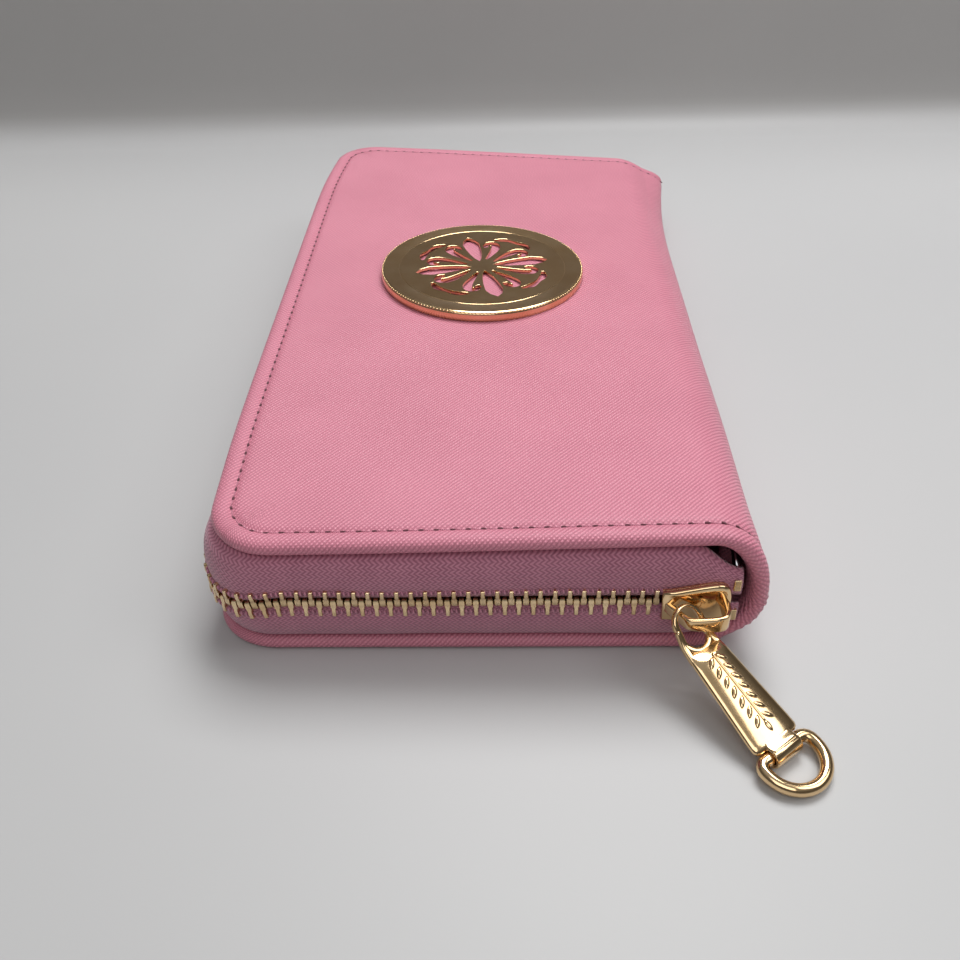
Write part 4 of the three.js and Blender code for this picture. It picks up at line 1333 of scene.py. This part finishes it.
def coin_bag():
    """The pocket's two panels, rolled together at their edges, with a slot for its zip."""
    build, rings, flat = Build(), [], []
    ys = [-COIN_HALF, -COIN_HALF + 0.4, -88.0, -COIN_ZIP_HALF - 0.05, -COIN_ZIP_HALF]
    ys += spread(-COIN_ZIP_HALF, COIN_ZIP_HALF, 40)
    ys += [-y for y in reversed(ys[:5])]
    middle, half = (COIN_LOW + COIN_HIGH) / 2, (COIN_HIGH - COIN_LOW) / 2
    for y in ys:
        opened = COIN_OPEN if abs(y) <= COIN_ZIP_HALF else 0.02
        slot_left, slot_right = COIN_ZIP_X - opened, COIN_ZIP_X + opened
        pinch = 0.35 if abs(y) > COIN_HALF - 0.2 else 1.0
        turns = spread(0, pi, 8)
        around = [(x, 0.0, 1.0) for x in evenly(slot_right, COIN_RIGHT - half, 12)]
        around += [(COIN_RIGHT - half, sin(a), cos(a)) for a in turns]
        around += [(x, 0.0, -1.0) for x in evenly(COIN_RIGHT - half, COIN_LEFT + half, 16)]
        around += [(COIN_LEFT + half, -sin(a), -cos(a)) for a in turns]
        around += [(x, 0.0, 1.0) for x in evenly(COIN_LEFT + half, slot_left, 2)]
        outer, inner = ([(x + reach * nx, reach * nz) for x, nx, nz in around]
                        for reach in (half, half - COIN_WALL))
        puff = 0.12 * sin(y * 0.05 + 0.6)
        ring = []
        for x, z in outer + inner[::-1]:
            swell = puff * sin((x - COIN_LEFT) / (COIN_RIGHT - COIN_LEFT) * pi) if abs(z) < half * 0.9 else 0
            ring.append(settled(x, y, middle + z * pinch + swell))
        rings.append(ring)
        flat += [(p.x + (100 if p.z < middle else 0), y) for p in ring]
    build.loft(rings, flat=flat)
    return build.object("coin_bag", LINING, bevel=0.1)


place_on(coin_bag(), "coin_pocket", "lining_leather", "coin_panel_lower", "coin_panel_upper")

for side, sign in (("outer", -1), ("inner", 1)):
    near, far = COIN_ZIP_X + sign * 1.96, COIN_ZIP_X + sign * (COIN_OPEN - 0.3)
    strip = panel(f"coin_tape_{side}", TAPE, min(near, far), max(near, far), COIN_ZIP_HALF - 0.3, COIN_ZIP_Z - 0.2,
                  COIN_ZIP_Z + 0.2, columns=6)
    place_on(strip, "coin_pocket", "zip_tape", f"coin_zip_tape_{side}")
    edge_x = COIN_ZIP_X + sign * (COIN_OPEN + 1.1)
    edge = straight_line(edge_x, -83.0, edge_x, 83.0, COIN_HIGH + 0.03)
    sewn_line(f"coin_zip_stitches_{side}", "coin_pocket", edge, 3.0)


# One tooth of the coin zip: (distance from the centre line, half width along the chain, half thickness).
COIN_TOOTH = [(1.8, 0.2, 0.4), (1.72, 0.27, 0.55), (0.7, 0.27, 0.55), (0.5, 0.36, 0.5), (-0.3, 0.36, 0.5),
              (-0.48, 0.24, 0.36)]


def coin_teeth():
    build = Build()
    start, end, pitch = -COIN_ZIP_HALF + 2, COIN_SLIDER_Y - 4.1, 1.62
    for i in range(int((end - start) / pitch) * 2):
        sign = 1 if i % 2 else -1
        centre = settled(COIN_ZIP_X, start + (i + 0.5) * pitch / 2, COIN_ZIP_Z)
        build.loft([[centre + Vector((sign * level, a, b)) for a, b in rounded_bar(wide, thick, 0.1, 1)]
                    for level, wide, thick in COIN_TOOTH])
    return build.object("coin_teeth", TOOTH)


place_on(coin_teeth(), "coin_pocket", "zip_metal", "coin_zip_chain")


def on_coin(p):
    """The slider's own axes turned so that its nose points along +Y and its outer face up."""
    turned_up = Vector((-p.z, p.x, -p.y)) * COIN_SCALE
    return Vector((COIN_ZIP_X, COIN_SLIDER_Y, COIN_ZIP_Z + 0.1)) + turned_up


whole_slider("coin_slider", on_coin, "coin_slider", "coin_zip_slider")


def coin_pull():
    """A flat tapered pull with an eye at one end and a raised lozenge grip."""
    def at(x, y, z):
        return on_coin(Vector((COIN_PULL_X + x, COIN_PULL_Y + y, z)))

    build = Build()
    eye = arc(0.2, 0, 3.2, 140, -140, 20)
    build.loft([[at(x + ox * a, b, z + oz * a) for a, b in rounded_bar(0.75, 0.5)]
                for (x, z), (ox, oz) in zip(eye, sideways(eye))])
    plate = [(2.3, 2.5, 0.35), (2.7, 3.1, 0.5), (5.0, 3.35, 0.5), (12.0, 3.8, 0.5), (18.6, 4.15, 0.5),
             (20.0, 3.9, 0.5), (20.8, 3.2, 0.5), (21.0, 2.4, 0.35)]  # (distance along, half width, half thickness)
    build.loft([[at(-t, b, a) for a, b in rounded_bar(wide, thick, 0.35)] for t, wide, thick in plate])
    for t in (8.0, 11.0, 14.0, 17.0):
        grip = []
        for a in evenly(-1, 1, 6):
            w = 2.4 * (1 - abs(a)) + 0.05
            grip.append([at(0.9 * a - t, b * (1 - a * a) - 0.5, s) for s, b in circle(w, 8, 0.25 / max(w, 0.3))])
        build.loft(grip)
    return build.object("coin_pull_plate", GOLD)


place_on(coin_pull(), "coin_pull", "polished_gold", "coin_zip_pull")

# ---- the setting ----


def ground():
    """A pale floor with a wall close behind, which leans back a little. The wall is painted darker than the floor, and
    darker again higher up, as painted shade.
    """
    profile = [(-1.2, 0.0), (-0.6, 0.0), (-0.2, 0.0), (0.0, 0.0), (0.1, 0.0), (0.178, 0.0), (0.184, 0.0006),
               (0.189, 0.0024), (0.193, 0.006), (0.196, 0.0115), (0.199, 0.02), (0.204, 0.035), (0.214, 0.072),
               (0.229, 0.13), (0.256, 0.24)]  # (y, z) in metres
    points = [(x, y * 1000, z * 1000) for y, z in profile for x in (-1600, -500, 0, 500, 1600)]
    floor = Finish("pale_floor", (0.54, 0.54, 0.54), 0.5)
    mottle = floor.ramp(floor.noise(3.0, 4.0), (0.3, (0.48, 0.48, 0.485)), (0.7, (0.52, 0.52, 0.52)))
    # The wall's darker tone is painted shade.
    wall = floor.ramp(floor.noise(3.0, 4.0), (0.3, (0.345, 0.337, 0.332)), (0.7, (0.385, 0.376, 0.37)))
    height = floor.split(floor.place())[2]
    # Above about 55 mm the wall turns darker still: a painted shadow band.
    above = floor.math("MULTIPLY", floor.math("SUBTRACT", height, 0.055), 1 / 0.05)
    wall = floor.mix(above, wall, (0.17, 0.152, 0.138))
    floor.color(floor.mix(floor.math("MULTIPLY", height, 1 / 0.009), mottle, wall))
    floor.bump(floor.noise(900.0, 2.0), 0.02, 0.5)
    obj = mesh("floor", points, grid_faces(len(profile), 5), floor.material)
    if obj.data.polygons[0].normal.z < 0:
        obj.data.flip_normals()


ground()


def area_light(name, at, aim, size, power):
    data = bpy.data.lights.new(name, "AREA")
    data.shape = "RECTANGLE"
    data.size, data.size_y = size
    data.energy = power
    lamp = add(name, data)
    lamp.location = at
    lamp.rotation_euler = (Vector(aim) - Vector(at)).to_track_quat("-Z", "Y").to_euler()


area_light("key", (0.12, 0.33, 0.8), (0, -0.05, 0), (0.5, 0.42), 6.2)
area_light("front_fill", (-0.1, -0.8, 1.0), (0, 0, 0), (0.9, 0.7), 3.3)
area_light("right_soft", (0.54, -0.1, 0.7), (0.05, -0.1, 0), (0.42, 0.42), 1.5)

world = bpy.data.worlds.new("soft_room")
scene.world = world
world.use_nodes = True
tree = world.node_tree
room = Nodes(tree)
upwards = room.split(room.node("ShaderNodeTexCoord"))[2]
glow = room.ramp(upwards, (0.0, 0.5), (0.45, (0.2, 0.185, 0.17)), (1.0, 1.0))
room.feed(tree.nodes["Background"].inputs["Color"], glow)
room.feed(tree.nodes["Background"].inputs["Strength"], 0.35)


def camera():
    """Looks down over the front edge, turned and tilted by a couple of degrees."""
    data = bpy.data.cameras.new("camera")
    data.lens, data.sensor_width = 36.94, 36.0
    data.clip_start, data.clip_end = 0.01, 20.0
    yaw, pitch, roll = (radians(a) for a in (-2.453, 38.539, -2.019))
    ahead = Vector((sin(yaw) * cos(pitch), cos(yaw) * cos(pitch), -sin(pitch)))
    right = Vector((cos(yaw), -sin(yaw), 0))
    up = right.cross(ahead)
    side = right * cos(roll) + up * sin(roll)
    top = up * cos(roll) - right * sin(roll)
    obj = add("camera", data)
    turn = Matrix((side, top, -ahead)).transposed().to_4x4()
    turn.translation = Vector((5.918, -229.192, 145.462)) * MM
    obj.matrix_world = turn
    scene.camera = obj


camera()
scene.view_settings.view_transform = "Standard"

bpy.context.view_layer.update()
